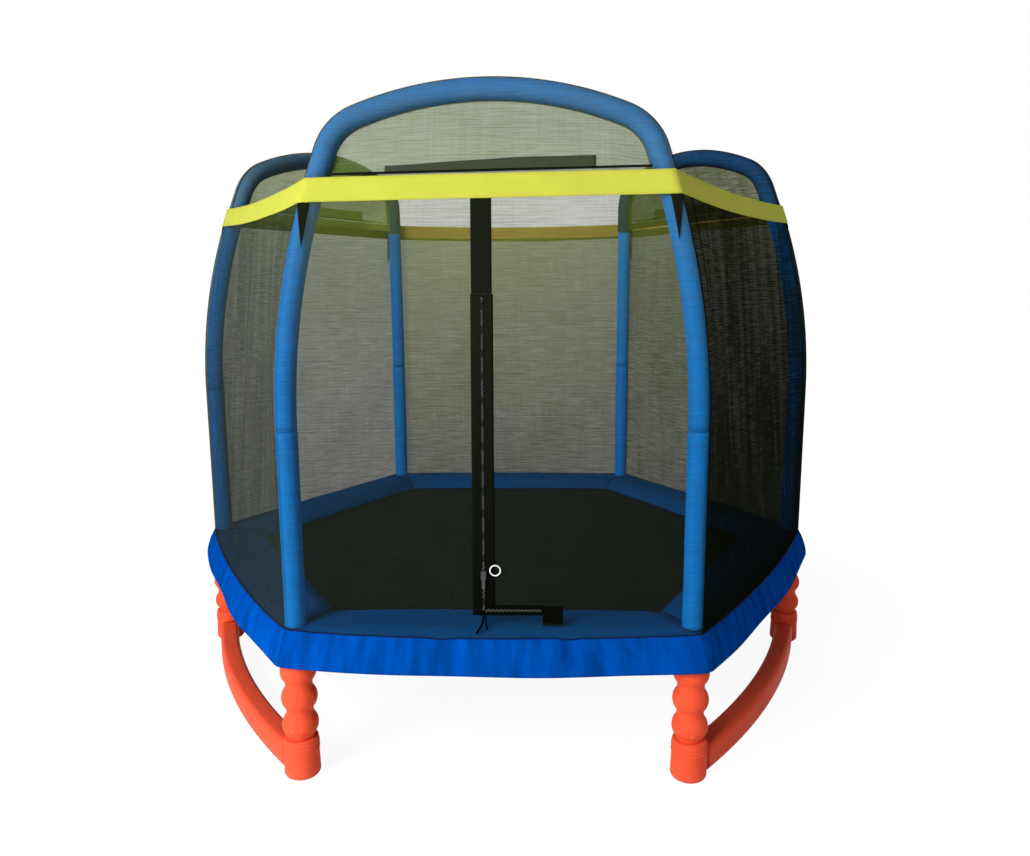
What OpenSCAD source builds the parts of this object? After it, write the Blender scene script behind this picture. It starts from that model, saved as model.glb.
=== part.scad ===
// Six-sided play trampoline with a netted enclosure on padded poles.
// Millimetres, +Z up. The origin is on the ground at the middle of the hexagon, and the
// zipped doorway faces -Y. Corner i stands at 60 * (i - 1) degrees from +X, and side k
// runs from corner k to corner k + 1. Sides 1, 3 and 5 carry the arches; 2, 4 and 6
// carry the leg frames.

/* [Plan] */
// Distance from the centre to each leg and pole axis
corner_r = 1012; // [900:1:1200]
// Seating gap left between two pieces that rest on each other
seat = 0.3; // [0.2:0.05:0.4]
// Radial clearance between telescoping pieces
fit = 0.3; // [0.2:0.05:0.4]

/* [Top rail] */
// Height of the rail's centre line
rail_z = 375; // [365:1:440]
// Outer diameter of the rail tube
rail_d = 32; // [28:0.5:38]
// Wall of every steel tube
tube_wall = 1.5; // [1:0.1:2]
// Length of each bracket arm from the corner axis
arm_len = 90; // [80:1:120]
// Length of the swaged rail end inside a bracket arm
swage_len = 45; // [30:1:52]

/* [Corner bracket] */
// Outer diameter of the upright socket
socket_d = 40; // [38:0.5:46]
// Depth of the socket that takes the leg tube
leg_seat = 27; // [20:1:30]
// Web between the leg socket and the pole socket
web_t = 5; // [3:0.5:8]

/* [Legs] */
// Outer diameter of the steel leg tube
leg_d = 32; // [28:0.5:34]
// Outer diameter of the steel bar between two legs
bar_d = 25; // [20:0.5:30]
// Widest diameter of a leg bead
bead_d = 93; // [85:1:105]
// Profile radius of a bead
bead_round = 40; // [38:0.5:44]
// Diameter of the neck between two beads
neck_d = 70; // [60:1:76]
// Distance from one bead to the next
bead_pitch = 73; // [66:1:76]
// Beads on each leg
bead_count = 3; // [3:1:3]
// Wall of the moulded leg covers and feet
shell_wall = 3.5; // [2.5:0.5:5]

/* [Feet] */
// Height of a foot cup
cup_h = 107; // [100:1:115]
// Diameter of a foot cup near the ground
cup_d = 94; // [88:1:104]
// Diameter of a foot cup at its top
cup_top_d = 88; // [80:1:92]
// Rounding of a foot cup's lower edge
cup_round = 14; // [8:1:20]
// Thin ribs round a foot cup
cup_ribs = 3; // [0:1:4]
// Height of the topmost rib
cup_rib_z = 94; // [88:1:98]
// Distance from one rib to the next
cup_rib_pitch = 9; // [7:1:10]
// Profile radius of a rib
cup_rib_r = 2.6; // [2:0.1:3]
// Width of the ground rail between two feet
foot_rail_w = 60; // [50:1:70]
// Height of the ground rail
foot_rail_h = 74; // [60:1:80]
// Rounding of the ground rail's edges
foot_rail_round = 14; // [8:1:20]
// Outward bow of the ground rail at the middle of its side
foot_rail_bow = 57; // [40:1:70]

/* [Poles] */
// Outer diameter of the pole and arch tubes
pole_d = 28; // [25:0.5:30]
// Height of the joint between a pole and its arch tube
pole_joint_z = 915; // [850:1:980]
// Length of the reduced spigot that joins them
spigot_len = 60; // [40:1:80]
// Length of the welded rings that join the lengths of an arch tube
weld_len = 6; // [4:1:10]
// Outer diameter of the lower foam sleeves
lower_foam_d = 55; // [54:0.5:60]
// Outer diameter of the arch foam sleeves
arch_foam_d = 53; // [48:0.5:53]

/* [Arches] */
// Radius of the inward bow of each arch leg
bow_r = 1796; // [1700:1:2100]
// Turn of each bow from the line to the centre toward the middle of its arch
bow_turn = 24; // [15:1:30]
// Height where the bow ends and the arch plane begins
spring_z = 1537; // [1520:1:1560]
// Straight length of each arch leg above the bow
arch_straight = 55; // [45:1:75]
// Radius of the bend at each shoulder of the arch
shoulder_r = 130; // [110:1:150]
// Radius of the arch's crown
crown_r = 843; // [760:1:1000]

/* [Jumping mat] */
// Distance from the pole axes' side line in to the mat's edge
mat_inset = 124.4; // [118:0.2:132]
// Thickness of the mat's fabric
mat_t = 2; // [1.5:0.1:3]
// Thickness of the mat's sewn border
hem_t = 5; // [4:0.5:6]
// Width of the mat's sewn border
hem_w = 32; // [24:1:45]

/* [Springs] */
// Springs on each side
springs_per_side = 6; // [4:1:6]
// Distance from one spring to the next
spring_pitch = 128; // [110:1:130]
// Outer diameter of a spring
spring_d = 15; // [12:0.5:16]
// Diameter of the spring's wire
wire_d = 3.4; // [2.5:0.1:4]
// Length of a V-ring from the mat's edge to its tip
vring_len = 30; // [26:1:34]
// Width of a V-ring at the mat's edge
vring_w = 46; // [40:1:56]
// Thickness of a V-ring's wire
vring_t = 4; // [3:0.5:5]

/* [Safety pad] */
// Distance from the pole axes' side line in to the pad's inner edge
pad_inset = 137.4; // [134:0.2:148]
// Distance from the pole axes' side line to the pad's outer edge
pad_reach = 31.5; // [31:0.5:40]
// Thickness of the pad at its edges
pad_t = 19.4; // [14:0.2:26]
// Rise of the pad's crown between its seams
pad_crown = 5; // [2:0.5:8]
// Height of the skirt below the pad's top
skirt_h = 91; // [80:1:100]
// Outward flare of the skirt at its hem
skirt_flare = 27; // [20:1:35]
// Depth of the skirt's folds at its hem
skirt_fold = 5; // [2:0.5:8]
// Folds along each side of the skirt
skirt_folds = 2; // [1:1:3]
// Thickness of the skirt
skirt_t = 3.4; // [2:0.2:5]
// Width of each strap that ties the pad to the rail
tie_w = 20; // [14:1:26]
// Thickness of a tie strap
tie_t = 1.6; // [1:0.2:2]

/* [Enclosure net] */
// Thickness of the net
net_t = 1.5; // [1:0.1:2]
// Clearance between the foam sleeves and the net
net_gap = 0.8; // [0.5:0.1:1.2]
// Openings across each wall of the net
wall_cols = 4; // [2:2:6]
// Openings up each wall of the net
wall_rows = 7; // [4:1:8]
// Width of the strands between the openings
strand_w = 26; // [16:1:40]
// Openings across each arch net
arch_cols = 6; // [4:2:8]
// Openings up each arch net
arch_rows = 3; // [2:1:4]
// Width of the border round each arch net
arch_border = 22; // [14:1:30]
// Height of the coloured band's lower edge
band_z = 1476; // [1440:1:1480]
// Width of the coloured band
band_h = 58; // [50:1:70]
// Thickness of the coloured band
band_t = 2; // [1.5:0.1:3]
// Length of the dark strip above the band
strip_len = 500; // [400:10:600]
// Height of the dark strip above the band
strip_h = 32; // [24:1:40]
// Distance from the band's top to the dark strip
strip_gap = 3; // [2:0.5:6]

/* [Doorway] */
// Sideways place of the zip on the front wall
door_y = -22; // [-50:1:-10]
// Width of the slit in the net behind the zip
door_slit = 16; // [10:1:30]
// Width of the zip's backing tape
tape_w = 55; // [50:1:65]
// Distance from the net to the backing tape
tape_gap = 0.4; // [0.3:0.1:1]
// Thickness of the backing tape
tape_t = 1.6; // [1.2:0.1:2.2]
// Height of the zip's lower end above the pad
zip_low = 54; // [48:1:62]
// Height of the zip's upper end above the pad
zip_high = 830; // [760:1:860]
// Reach of the zip's level leg along the bottom
zip_leg = 147; // [120:1:160]
// Width of the closed teeth
teeth_w = 6; // [5:0.5:7]
// Thickness of the teeth over the tape
teeth_t = 2.2; // [1.8:0.1:2.6]
// Size of the square patch at the level leg's end
patch_w = 50; // [40:1:56]
// Height of the patch's lower edge above the pad
patch_z = 15; // [10:1:20]
// Height of the slider's middle above the pad when closed
slider_v = 146; // [138:1:170]
// Thickness of the slider's body over the teeth
slider_t = 4.2; // [3.5:0.1:6]
// Length of the zip slider
slider_len = 22; // [18:1:26]
// Width of the zip slider
slider_w = 13; // [12:0.5:15]
// Length of the pull tab below its pin
pull_len = 42; // [32:1:46]
// Diameter of the pull's pin
pull_pin_d = 2.6; // [2:0.1:3]
// Outer diameter of the door ring
ring_d = 29; // [26:0.5:32]
// Diameter of the door ring's wire
ring_wire = 3.2; // [2.6:0.1:3.6]

/* [Fasteners] */
// Diameter of a frame screw
screw_d = 5; // [4:0.5:6]
// Diameter of a screw's head
screw_head_d = 11; // [9:0.5:12]
// Height of a screw's head
screw_head_h = 4; // [3:0.5:5]
// Length of a socket screw under its seat
screw_grip = 12; // [10:1:14]
// Length of an arm screw under its seat
arm_screw_grip = 8; // [6:1:10]

/* [Hidden] */
corners = [1:6];
$fn = 48;

// Plan of the hexagon: a side is as long as the corner radius.
side_c = cos(30);
axis_a = corner_r * side_c;
mat_a = axis_a - mat_inset;
pad_inner_a = axis_a - pad_inset;
rail_top = rail_z + rail_d / 2;
arm_bore = rail_d - 2 * tube_wall;
swage_d = arm_bore - 2 * fit;
arm_screw_r = arm_len - swage_len / 2;

// Levels from the ground up.
cover_top = cup_h + seat + bead_count * bead_pitch;
bracket_z = cover_top + seat;
leg_top = bracket_z + leg_seat - seat;
pole_z = bracket_z + leg_seat + web_t + seat;
pad_z = rail_top + seat;
pad_top = pad_z + pad_t;
pad_roll = 4;
pad_ease = 34;
pad_draw = 3;
pad_steps = 48;
skirt_steps = 72;
skirt_rows = 4;
bar_z = foot_rail_h / 2;
socket_screw_z = [bracket_z + leg_seat / 2, (pole_z + rail_top) / 2];
screw_bore_d = screw_d + 2 * fit;
leg_bore_d = leg_d + 2 * fit;
pole_bore_d = pole_d + 2 * fit;

// Plan arc of the ground rail and of the bar inside it.
rail_arc_r = (pow(corner_r / 2, 2) + pow(foot_rail_bow, 2)) / (2 * foot_rail_bow);
rail_arc_x = axis_a + foot_rail_bow - rail_arc_r;
rail_arc_a = asin(corner_r / 2 / rail_arc_r);

// The bow leans every arch leg in toward the middle of its arch; above it the arch lies in
// one tilted plane.
bow_a = asin((spring_z - pole_joint_z) / bow_r);
bow_plan = 30 + bow_turn;
function bow_in(z) =
    z <= pole_joint_z ? 0
    : z <= spring_z ? bow_r - sqrt(bow_r * bow_r - pow(z - pole_joint_z, 2))
    : bow_r * (1 - cos(bow_a)) + (z - spring_z) * tan(bow_a);
// Place of a pole's centre line in the frame of an arch's side: out from the middle of the
// hexagon, and along from the middle of the side.
function arch_out(z) = axis_a - bow_in(z) * cos(bow_plan);
function arch_along(z) = corner_r / 2 - bow_in(z) * sin(bow_plan);
// The same for any side: the odd ones carry the arches.
function pole_out(k, z) = k % 2 == 1 ? arch_out(z) : arch_out(z) / 2 + arch_along(z) * side_c;
function pole_along(k, z) = k % 2 == 1 ? arch_along(z) : arch_out(z) * side_c - arch_along(z) / 2;
spring_a = arch_out(spring_z);
spring_h = arch_along(spring_z);
tilt = atan(cos(bow_plan) * tan(bow_a));
lean = asin(sin(bow_a) * sin(bow_plan));
shoulder_u = spring_h - arch_straight * sin(lean) - shoulder_r * cos(lean);
shoulder_v = arch_straight * cos(lean) - shoulder_r * sin(lean);
crown_a = acos(shoulder_u / (crown_r - shoulder_r));
crown_v = shoulder_v - (crown_r - shoulder_r) * sin(crown_a);

// The net hangs outside the foam. Its walls are flat at top and bottom, follow the posts
// at both ends, and are drawn in between them to one flat stretch at mid side.
band_top = band_z + band_h;
band_mid = band_z + band_h / 2;
net_z = pad_top + seat;
bow_sag = pow((band_top - pad_top) / wall_rows, 2) / 8 / bow_r;
net_off = lower_foam_d / 2 + net_gap + bow_sag;
strand_t = strand_w / (corner_r / 2);
flat_t = 0.28;
function edge_a(k, z) = pole_out(k, z) + net_off;
function edge_h(k, z) = pole_along(k, z) + net_off * tan(30);
function line_a(k, z) = edge_a(k, pad_top) + (edge_a(k, band_z) - edge_a(k, pad_top))
    * min(1, (z - pad_top) / (band_z - pad_top));
function drawn(t) = 1 - pow(max(0, min(1, (abs(t) - flat_t) / (1 - strand_t - flat_t))), 2);
function wall_a(k, t, z) = z >= band_z ? edge_a(k, z)
    : edge_a(k, z) - (edge_a(k, z) - line_a(k, z)) * drawn(t);
plate_x = net_off * cos(tilt);

// The doorway lies in the plane of the front wall's straight mid line.
door_tilt = atan((edge_a(5, pad_top) - edge_a(5, band_z)) / (band_z - pad_top));
tape_x = net_t + tape_gap;
tape_x1 = tape_x + tape_t;
door_h = (band_z - pad_top) / cos(door_tilt);
slider_x1 = tape_x1 + teeth_t + slider_t;
eye_w = 8;
eye_d = pull_pin_d + 2 * seat + 1.6;
pull_t = 1.8;
lug_t = 2;
lug_y = eye_w / 2 + seat;
pull_x = slider_x1 + eye_d / 2 + seat;
pull_v = slider_v + slider_len / 2 - eye_w / 2;
ring_y = tape_w / 2 + 1.5;
ring_v = slider_v + slider_len / 2;
ring_major = (ring_d - ring_wire) / 2;
sleeve_len = 7;
sleeve_bore_d = ring_wire + 2 * fit + 1;
sleeve_d = sleeve_bore_d + 2.4;
ring_x = tape_x1 + (sleeve_bore_d + sleeve_d) / 4 + 0.4;
leg_tape_h = 26;

// Spring seats.
half_v = atan(vring_w / 2 / vring_len);
vring_tip = mat_a + seat + vring_len;
pin_x = vring_tip - (vring_t + wire_d / 2 + fit) / sin(half_v);
hook_z = rail_z + vring_t / 2 + fit + wire_d / 2;
hook_reach = 12;
hook_drop = 3;
spring_x0 = vring_tip + hook_reach;
spring_x1 = axis_a - rail_d / 2 - hook_reach + 2;
tie_y = spring_pitch * 2;
bore_reach = 6;

module at_corner(i) { rotate([0, 0, 60 * (i - 1)]) translate([corner_r, 0, 0]) children(); }
module at_side(k) { rotate([0, 0, 60 * (k - 1) + 30]) children(); }
module ring(d, bore, h) {
    difference() {
        cylinder(d = d, h = h);
        translate([0, 0, -1]) cylinder(d = bore, h = h + 2);
    }
}

// ---- steel frame ----

module top_rail(k) {
    tube_half = corner_r / 2 - arm_len - seat;
    color("silver") at_side(k) translate([axis_a, 0, rail_z]) difference() {
        rotate([90, 0, 0]) union() {
            translate([0, 0, -tube_half]) cylinder(d = rail_d, h = 2 * tube_half);
            translate([0, 0, -tube_half - swage_len])
                cylinder(d = swage_d, h = 2 * (tube_half + swage_len));
        }
        rotate([90, 0, 0]) translate([0, 0, -corner_r / 2])
            cylinder(d = swage_d - 2 * tube_wall, h = corner_r);
        for (n = [0:springs_per_side - 1])
            translate([0, (n - (springs_per_side - 1) / 2) * spring_pitch, 0])
                rotate([0, -90, 0]) cylinder(d = wire_d + 2 * fit, h = rail_d, $fn = 24);
        for (s = [-1, 1]) translate([0, s * (corner_r / 2 - arm_screw_r), -rail_d])
            cylinder(d = screw_bore_d, h = rail_d, $fn = 24);
    }
}

module corner_bracket(i) {
    color("silver") at_corner(i) difference() {
        union() {
            translate([0, 0, bracket_z]) cylinder(d = socket_d, h = rail_top - bracket_z);
            for (s = [-120, 120]) translate([0, 0, rail_z]) rotate([0, 0, s])
                rotate([0, 90, 0]) cylinder(d = rail_d, h = arm_len);
        }
        translate([0, 0, bracket_z - 1]) cylinder(d = leg_bore_d, h = leg_seat + 1);
        translate([0, 0, pole_z - seat]) cylinder(d = pole_bore_d, h = rail_top);
        for (s = [-120, 120]) rotate([0, 0, s]) {
            translate([socket_d / 2 + 2, 0, rail_z]) rotate([0, 90, 0])
                cylinder(d = arm_bore, h = arm_len);
            translate([arm_screw_r, 0, rail_z - rail_d])
                cylinder(d = screw_bore_d, h = rail_d, $fn = 24);
        }
        for (z = socket_screw_z) translate([0, 0, z]) rotate([0, 90, 0])
            cylinder(d = screw_bore_d, h = socket_d, $fn = 24);
    }
}

module leg_frame(k) {
    color("gray") at_side(k) difference() {
        union() {
            for (s = [-1, 1]) translate([axis_a, s * corner_r / 2, shell_wall + seat])
                cylinder(d = leg_d, h = leg_top - shell_wall - seat);
            plan_arc(bar_z) circle(d = bar_d);
        }
        for (s = [-1, 1]) translate([axis_a, s * corner_r / 2, shell_wall + seat - 1])
            cylinder(d = leg_d - 2 * tube_wall, h = leg_top);
        plan_arc(bar_z) circle(d = bar_d - 2 * tube_wall);
        for (s = [-1, 1]) translate([axis_a, s * corner_r / 2, socket_screw_z[0]])
            rotate([0, 90, s * 30]) cylinder(d = screw_bore_d, h = leg_d, $fn = 24);
    }
}
module plan_arc(z) {
    translate([rail_arc_x, 0, z]) rotate([0, 0, -rail_arc_a])
        rotate_extrude(angle = 2 * rail_arc_a, $fn = 240) translate([rail_arc_r, 0]) children();
}

// Bead stack that sheathes a leg tube between its foot cup and the corner bracket.
module leg_cover(i) {
    color("orangered") at_corner(i) translate([0, 0, cup_h + seat]) rotate_extrude($fn = 64)
        difference() {
            beads(bead_round, neck_d / 2);
            difference() {
                beads(bead_round - shell_wall, neck_d / 2 - shell_wall);
                square([bead_d, shell_wall]);
                translate([0, bead_count * bead_pitch - shell_wall])
                    square([bead_d, shell_wall + 1]);
            }
            square([leg_bore_d / 2, bead_count * bead_pitch]);
        }
}
module beads(round_r, neck_r) {
    intersection() {
        union() {
            square([neck_r, bead_count * bead_pitch]);
            for (n = [0:bead_count - 1]) translate([bead_d / 2 - bead_round, (n + 0.5) * bead_pitch])
                circle(r = round_r, $fn = 64);
        }
        square([bead_d, bead_count * bead_pitch]);
    }
}

// Two foot cups and the bowed ground rail between them, one hollow moulding.
module foot_base(k) {
    color("orangered") at_side(k) difference() {
        union() {
            for (s = [-1, 1]) translate([axis_a, s * corner_r / 2, 0]) {
                rotate_extrude($fn = 64) cup_outline(0);
                for (n = [0:cup_ribs - 1]) translate([0, 0, cup_rib_z - cup_rib_pitch * n])
                    rotate_extrude($fn = 64) translate([cup_top_d / 2 - 1, 0])
                        circle(r = cup_rib_r, $fn = 24);
            }
            plan_arc(0) rail_section(0);
        }
        plan_arc(0) rail_section(shell_wall);
        for (s = [-1, 1]) translate([axis_a, s * corner_r / 2, 0]) {
            rotate_extrude($fn = 64) cup_outline(shell_wall);
            translate([0, 0, cup_h / 2]) cylinder(d = leg_bore_d, h = cup_h);
        }
    }
}
module cup_outline(wall) {
    low = cup_d / 2 - wall;
    soft = cup_round - wall;
    translate([low - soft, wall + soft]) circle(r = soft, $fn = 48);
    polygon([[0, wall], [low - soft, wall], [low, wall + soft],
             [cup_top_d / 2 - wall, cup_h - wall], [0, cup_h - wall]]);
}
module rail_section(wall) {
    w = foot_rail_w / 2 - wall;
    soft = foot_rail_round - wall;
    translate([-w + soft, wall]) square([2 * (w - soft), foot_rail_h - 2 * wall]);
    translate([-w, wall + soft]) square([2 * w, foot_rail_h - 2 * wall - 2 * soft]);
    for (x = [-w + soft, w - soft]) for (y = [wall + soft, foot_rail_h - wall - soft])
        translate([x, y]) circle(r = soft, $fn = 32);
}

// ---- poles, arches and their foam ----

module lower_pole(i) {
    color("dimgray") at_corner(i) difference() {
        translate([0, 0, pole_z]) ring(pole_d, pole_d - 2 * tube_wall, pole_joint_z - seat - pole_z);
        translate([0, 0, socket_screw_z[1]]) rotate([0, 90, 0])
            cylinder(d = screw_bore_d, h = pole_d, $fn = 24);
    }
}

module in_arch_plane() {
    translate([spring_a, 0, spring_z]) rotate([0, -tilt, 0]) children();
}
// Each bend stops half a seat short of its neighbour at both ends.
module arc(r, a0, a1) {
    trim = seat / 2 / r * 180 / PI;
    rotate([0, 0, a0 + trim]) rotate_extrude(angle = a1 - a0 - 2 * trim, $fn = 120)
        translate([r, 0]) children();
}
module mirrored(s) { if (s < 0) mirror([0, 1, 0]) children(); else children(); }
// The lengths of one arch from joint to joint: bow, straight, shoulder and crown.
module arch_run(d, bore) {
    for (s = [-1, 1]) {
        rotate([0, 0, 30 * s]) translate([corner_r, 0, pole_joint_z])
            rotate([0, 0, bow_turn * s]) translate([-bow_r, 0, 0])
                rotate([90, 0, 0]) arc(bow_r, 0, bow_a) annulus(d, bore);
        in_arch_plane() mirrored(s) {
            translate([0, spring_h, 0]) rotate([lean, 0, 0]) translate([0, 0, seat / 2])
                linear_extrude(arch_straight - seat) annulus(d, bore);
            translate([0, shoulder_u, shoulder_v]) rotate([90, 0, 90])
                arc(shoulder_r, lean, crown_a) annulus(d, bore);
        }
    }
    in_arch_plane() translate([0, 0, crown_v]) rotate([90, 0, 90])
        arc(crown_r, crown_a, 180 - crown_a) annulus(d, bore);
}
// Welded rings that join the lengths of an arch tube.
module weld_rings() {
    in_arch_plane() for (s = [-1, 1]) mirrored(s) {
        translate([0, spring_h, 0]) rotate([lean, 0, 0]) {
            weld_ring();
            translate([0, 0, arch_straight]) weld_ring();
        }
        translate([0, shoulder_u, shoulder_v]) rotate([90, 0, 90]) rotate([0, 0, crown_a])
            translate([shoulder_r, 0, 0]) rotate([90, 0, 0]) weld_ring();
    }
}
module weld_ring() {
    translate([0, 0, -weld_len / 2]) ring(pole_d + fit, pole_d - tube_wall, weld_len);
}
module annulus(d, bore) { difference() { circle(d = d); circle(d = bore); } }

module arch_tube(k) {
    spigot_d = pole_d - 2 * tube_wall - 2 * fit;
    color("dimgray") at_side(k) {
        arch_run(pole_d, pole_d - 2 * tube_wall);
        weld_rings();
        for (s = [-30, 30]) rotate([0, 0, s]) translate([corner_r, 0, pole_joint_z - spigot_len]) {
            ring(spigot_d, spigot_d - 2 * tube_wall, spigot_len + weld_len / 2);
            translate([0, 0, spigot_len + 1]) ring(pole_d - tube_wall, spigot_d - 1, 1.5);
        }
    }
}
module lower_foam(i) {
    color("dodgerblue") at_corner(i) translate([0, 0, pad_top + seat])
        ring(lower_foam_d, pole_bore_d, pole_joint_z - pad_top - 2 * seat);
}
module arch_foam(k) {
    color("dodgerblue") at_side(k) arch_run(arch_foam_d, pole_bore_d);
}

// ---- mat, springs and pad ----

module jump_mat() {
    mat_r = mat_a / side_c;
    color("#1c1d1f") {
        translate([0, 0, rail_z - mat_t / 2]) cylinder(r = mat_r, h = mat_t, $fn = 6);
        translate([0, 0, rail_z - hem_t / 2]) difference() {
            cylinder(r = mat_r, h = hem_t, $fn = 6);
            translate([0, 0, -1]) cylinder(r = mat_r - hem_w / side_c, h = hem_t + 2, $fn = 6);
        }
    }
}
module each_spring() {
    for (k = corners) for (n = [0:springs_per_side - 1])
        at_side(k) translate([0, (n - (springs_per_side - 1) / 2) * spring_pitch, 0]) children();
}
module mat_rings() {
    x = mat_a + seat;
    in_base = vring_t;
    in_tip = vring_len - vring_t / sin(half_v);
    in_w = (in_tip - in_base) * tan(half_v);
    color("silver") each_spring() translate([x, 0, rail_z - vring_t / 2])
        linear_extrude(vring_t) difference() {
            polygon([[0, -vring_w / 2], [vring_len, 0], [0, vring_w / 2]]);
            polygon([[in_base, -in_w], [in_tip, 0], [in_base, in_w]]);
        }
}
module springs() {
    color("gray") each_spring() {
        translate([spring_x0, 0, rail_z]) rotate([0, 90, 0])
            cylinder(d = spring_d, h = spring_x1 - spring_x0, $fn = 32);
        translate([spring_x1 - 1, 0, rail_z]) rotate([0, 90, 0])
            cylinder(d = wire_d, h = axis_a - rail_d / 2 + bore_reach - spring_x1, $fn = 16);
        translate([pin_x, 0, hook_z]) {
            rotate([0, 90, 0]) cylinder(d = wire_d, h = spring_x0 + 1 - pin_x, $fn = 16);
            sphere(d = wire_d, $fn = 16);
            translate([0, 0, -vring_t - hook_drop])
                cylinder(d = wire_d, h = vring_t + hook_drop, $fn = 16);
        }
    }
}

// Closed ring swept round the hexagon through rows of [distance to the side, height].
function hex_pt(a, q, z) = let (r = a / cos(q - 60 * floor(q / 60) - 30)) [r * cos(q), r * sin(q), z];
module sweep_ring(rows) {
    n = len(rows);
    m = len(rows[0]);
    polyhedron(
        points = [for (row = rows) each row],
        faces = [for (i = [0:n - 1]) for (j = [0:m - 1])
            let (a = i * m + j, b = i * m + (j + 1) % m,
                 c = ((i + 1) % n) * m + (j + 1) % m, d = ((i + 1) % n) * m + j)
            each [[a, b, c], [a, c, d]]]);
}

// Padded ring over the springs: each side is crowned and drawn in at the corner seams.
module safety_pad() {
    outer = axis_a + pad_reach;
    mid = pad_z + pad_t / 2;
    color("#1450c8") difference() {
        sweep_ring([for (i = [0:pad_steps - 1])
            let (q = i * 360 / pad_steps, full = pow(sin(3 * (q % 60)), 0.5),
                 top = pad_top + pad_crown * full, rise = (pad_top + top) / 2,
                 inner = pad_inner_a + pad_roll - pad_draw * full)
            [for (p = [
                [inner + pad_roll, pad_z + pad_roll / 2], [inner + pad_ease, pad_z],
                [outer - pad_ease, pad_z], [outer - pad_roll / 2, pad_z + pad_roll / 4],
                [outer, mid], [outer, pad_top - pad_roll / 8],
                [outer - 2 * pad_roll, pad_top], [outer - pad_ease, rise],
                [(pad_inner_a + outer) / 2, top],
                [inner + pad_ease, rise], [inner + pad_roll, pad_top - pad_roll / 2], [inner, mid]])
             hex_pt(p[0], q, p[1])]]);
        for (i = corners) at_corner(i) {
            translate([0, 0, pad_z - 1]) cylinder(d = pole_bore_d, h = 2 * pad_t, $fn = 32);
            translate([0, 0, pad_top]) cylinder(d = lower_foam_d + 2, h = pad_t, $fn = 32);
        }
    }
}

// Cloth skirt sewn to the pad's outer edge; it flares and folds toward its hem.
module pad_skirt() {
    top_a = axis_a + pad_reach + seat;
    color("#1048c0") sweep_ring([for (i = [0:skirt_steps - 1])
        let (q = i * 360 / skirt_steps,
             wave = sin(360 * skirt_folds * (q % 60) / 60) * sin(3 * (q % 60)))
        [for (face = [0, 1]) for (j = [0:skirt_rows])
            let (fall = (face == 0 ? skirt_rows - j : j) / skirt_rows)
            hex_pt(top_a + skirt_flare * sin(90 * fall) + skirt_fold * fall * wave + face * skirt_t,
                   q, pad_top - skirt_h * fall)]]);
}

module pad_ties() {
    r = rail_d / 2 + fit;
    color("#202226") for (k = corners) for (s = [-1, 1]) at_side(k)
        translate([axis_a, s * tie_y + tie_w / 2, rail_z]) rotate([90, 0, 0])
            linear_extrude(tie_w) difference() {
                union() {
                    circle(r = r + tie_t);
                    translate([-r - tie_t, 0]) square([2 * (r + tie_t), rail_d / 2]);
                }
                circle(r = r);
                translate([-r, 0]) square([2 * r, rail_d]);
            }
}

// ---- enclosure ----

// Wall of net between two sideways places (-1 to 1 is corner to corner) and two heights,
// with columns and rows of openings.
module net_sheet(k, t0, t1, z0, z1, cols, rows) {
    sides = [for (c = [0:cols]) each
        [for (e = [0, 1]) t0 + (t1 - t0 - strand_t) * c / cols + e * strand_t]];
    levels = [for (r = [0:rows]) each
        [for (e = [0, 1]) z0 + (z1 - z0 - strand_w) * r / rows + e * strand_w]];
    nc = len(sides);
    nr = len(levels);
    function at(s, r, c) = (s * nr + r) * nc + c;
    function solid(r, c) = r >= 0 && c >= 0 && r < nr - 1 && c < nc - 1
        && !(r % 2 == 1 && c % 2 == 1);
    quads = [for (r = [0:nr - 2]) for (c = [0:nc - 2]) if (solid(r, c)) each [
        [at(1, r, c), at(1, r + 1, c), at(1, r + 1, c + 1), at(1, r, c + 1)],
        [at(0, r, c), at(0, r, c + 1), at(0, r + 1, c + 1), at(0, r + 1, c)],
        if (!solid(r - 1, c)) [at(1, r, c), at(1, r, c + 1), at(0, r, c + 1), at(0, r, c)],
        if (!solid(r + 1, c))
            [at(0, r + 1, c), at(0, r + 1, c + 1), at(1, r + 1, c + 1), at(1, r + 1, c)],
        if (!solid(r, c - 1)) [at(0, r + 1, c), at(1, r + 1, c), at(1, r, c), at(0, r, c)],
        if (!solid(r, c + 1))
            [at(0, r, c + 1), at(1, r, c + 1), at(1, r + 1, c + 1), at(0, r + 1, c + 1)]
    ]];
    polyhedron(
        points = [for (s = [0, 1]) for (z = levels) for (t = sides)
            [wall_a(k, t, z) + s * net_t, t * (edge_h(k, z) - seat), z]],
        faces = [for (f = quads) each [[f[0], f[1], f[2]], [f[0], f[2], f[3]]]]);
}

module net_walls() {
    door_t = door_y / (corner_r / 2);
    slit_t = door_slit / corner_r;
    color("#3a3d36") for (k = corners) at_side(k) {
        top = k % 2 == 1 ? band_mid - seat : band_top;
        if (k == 5) {
            net_sheet(k, -1, door_t - slit_t, net_z, top, wall_cols / 2, wall_rows);
            net_sheet(k, door_t + slit_t, 1, net_z, top, wall_cols / 2, wall_rows);
        } else net_sheet(k, -1, 1, net_z, top, wall_cols, wall_rows);
    }
}

// Outline of an arch along its centre line, moved inward by a border.
function arch_edge(border, v0) =
    let (half = [
        [spring_h - v0 * tan(lean) - border, v0],
        for (a = [lean:(crown_a - lean) / 8:crown_a + 0.01])
            let (v = shoulder_v + (shoulder_r - border) * sin(a))
            if (v > v0) [shoulder_u + (shoulder_r - border) * cos(a), v],
        for (a = [crown_a + 3:3:89])
            [(crown_r - border) * cos(a), crown_v + (crown_r - border) * sin(a)]],
         n = len(half))
    concat(half, [for (i = [n - 1:-1:0]) [-half[i][0], half[i][1]]]);
function arch_v(z) = (z - spring_z) / cos(tilt);

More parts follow.
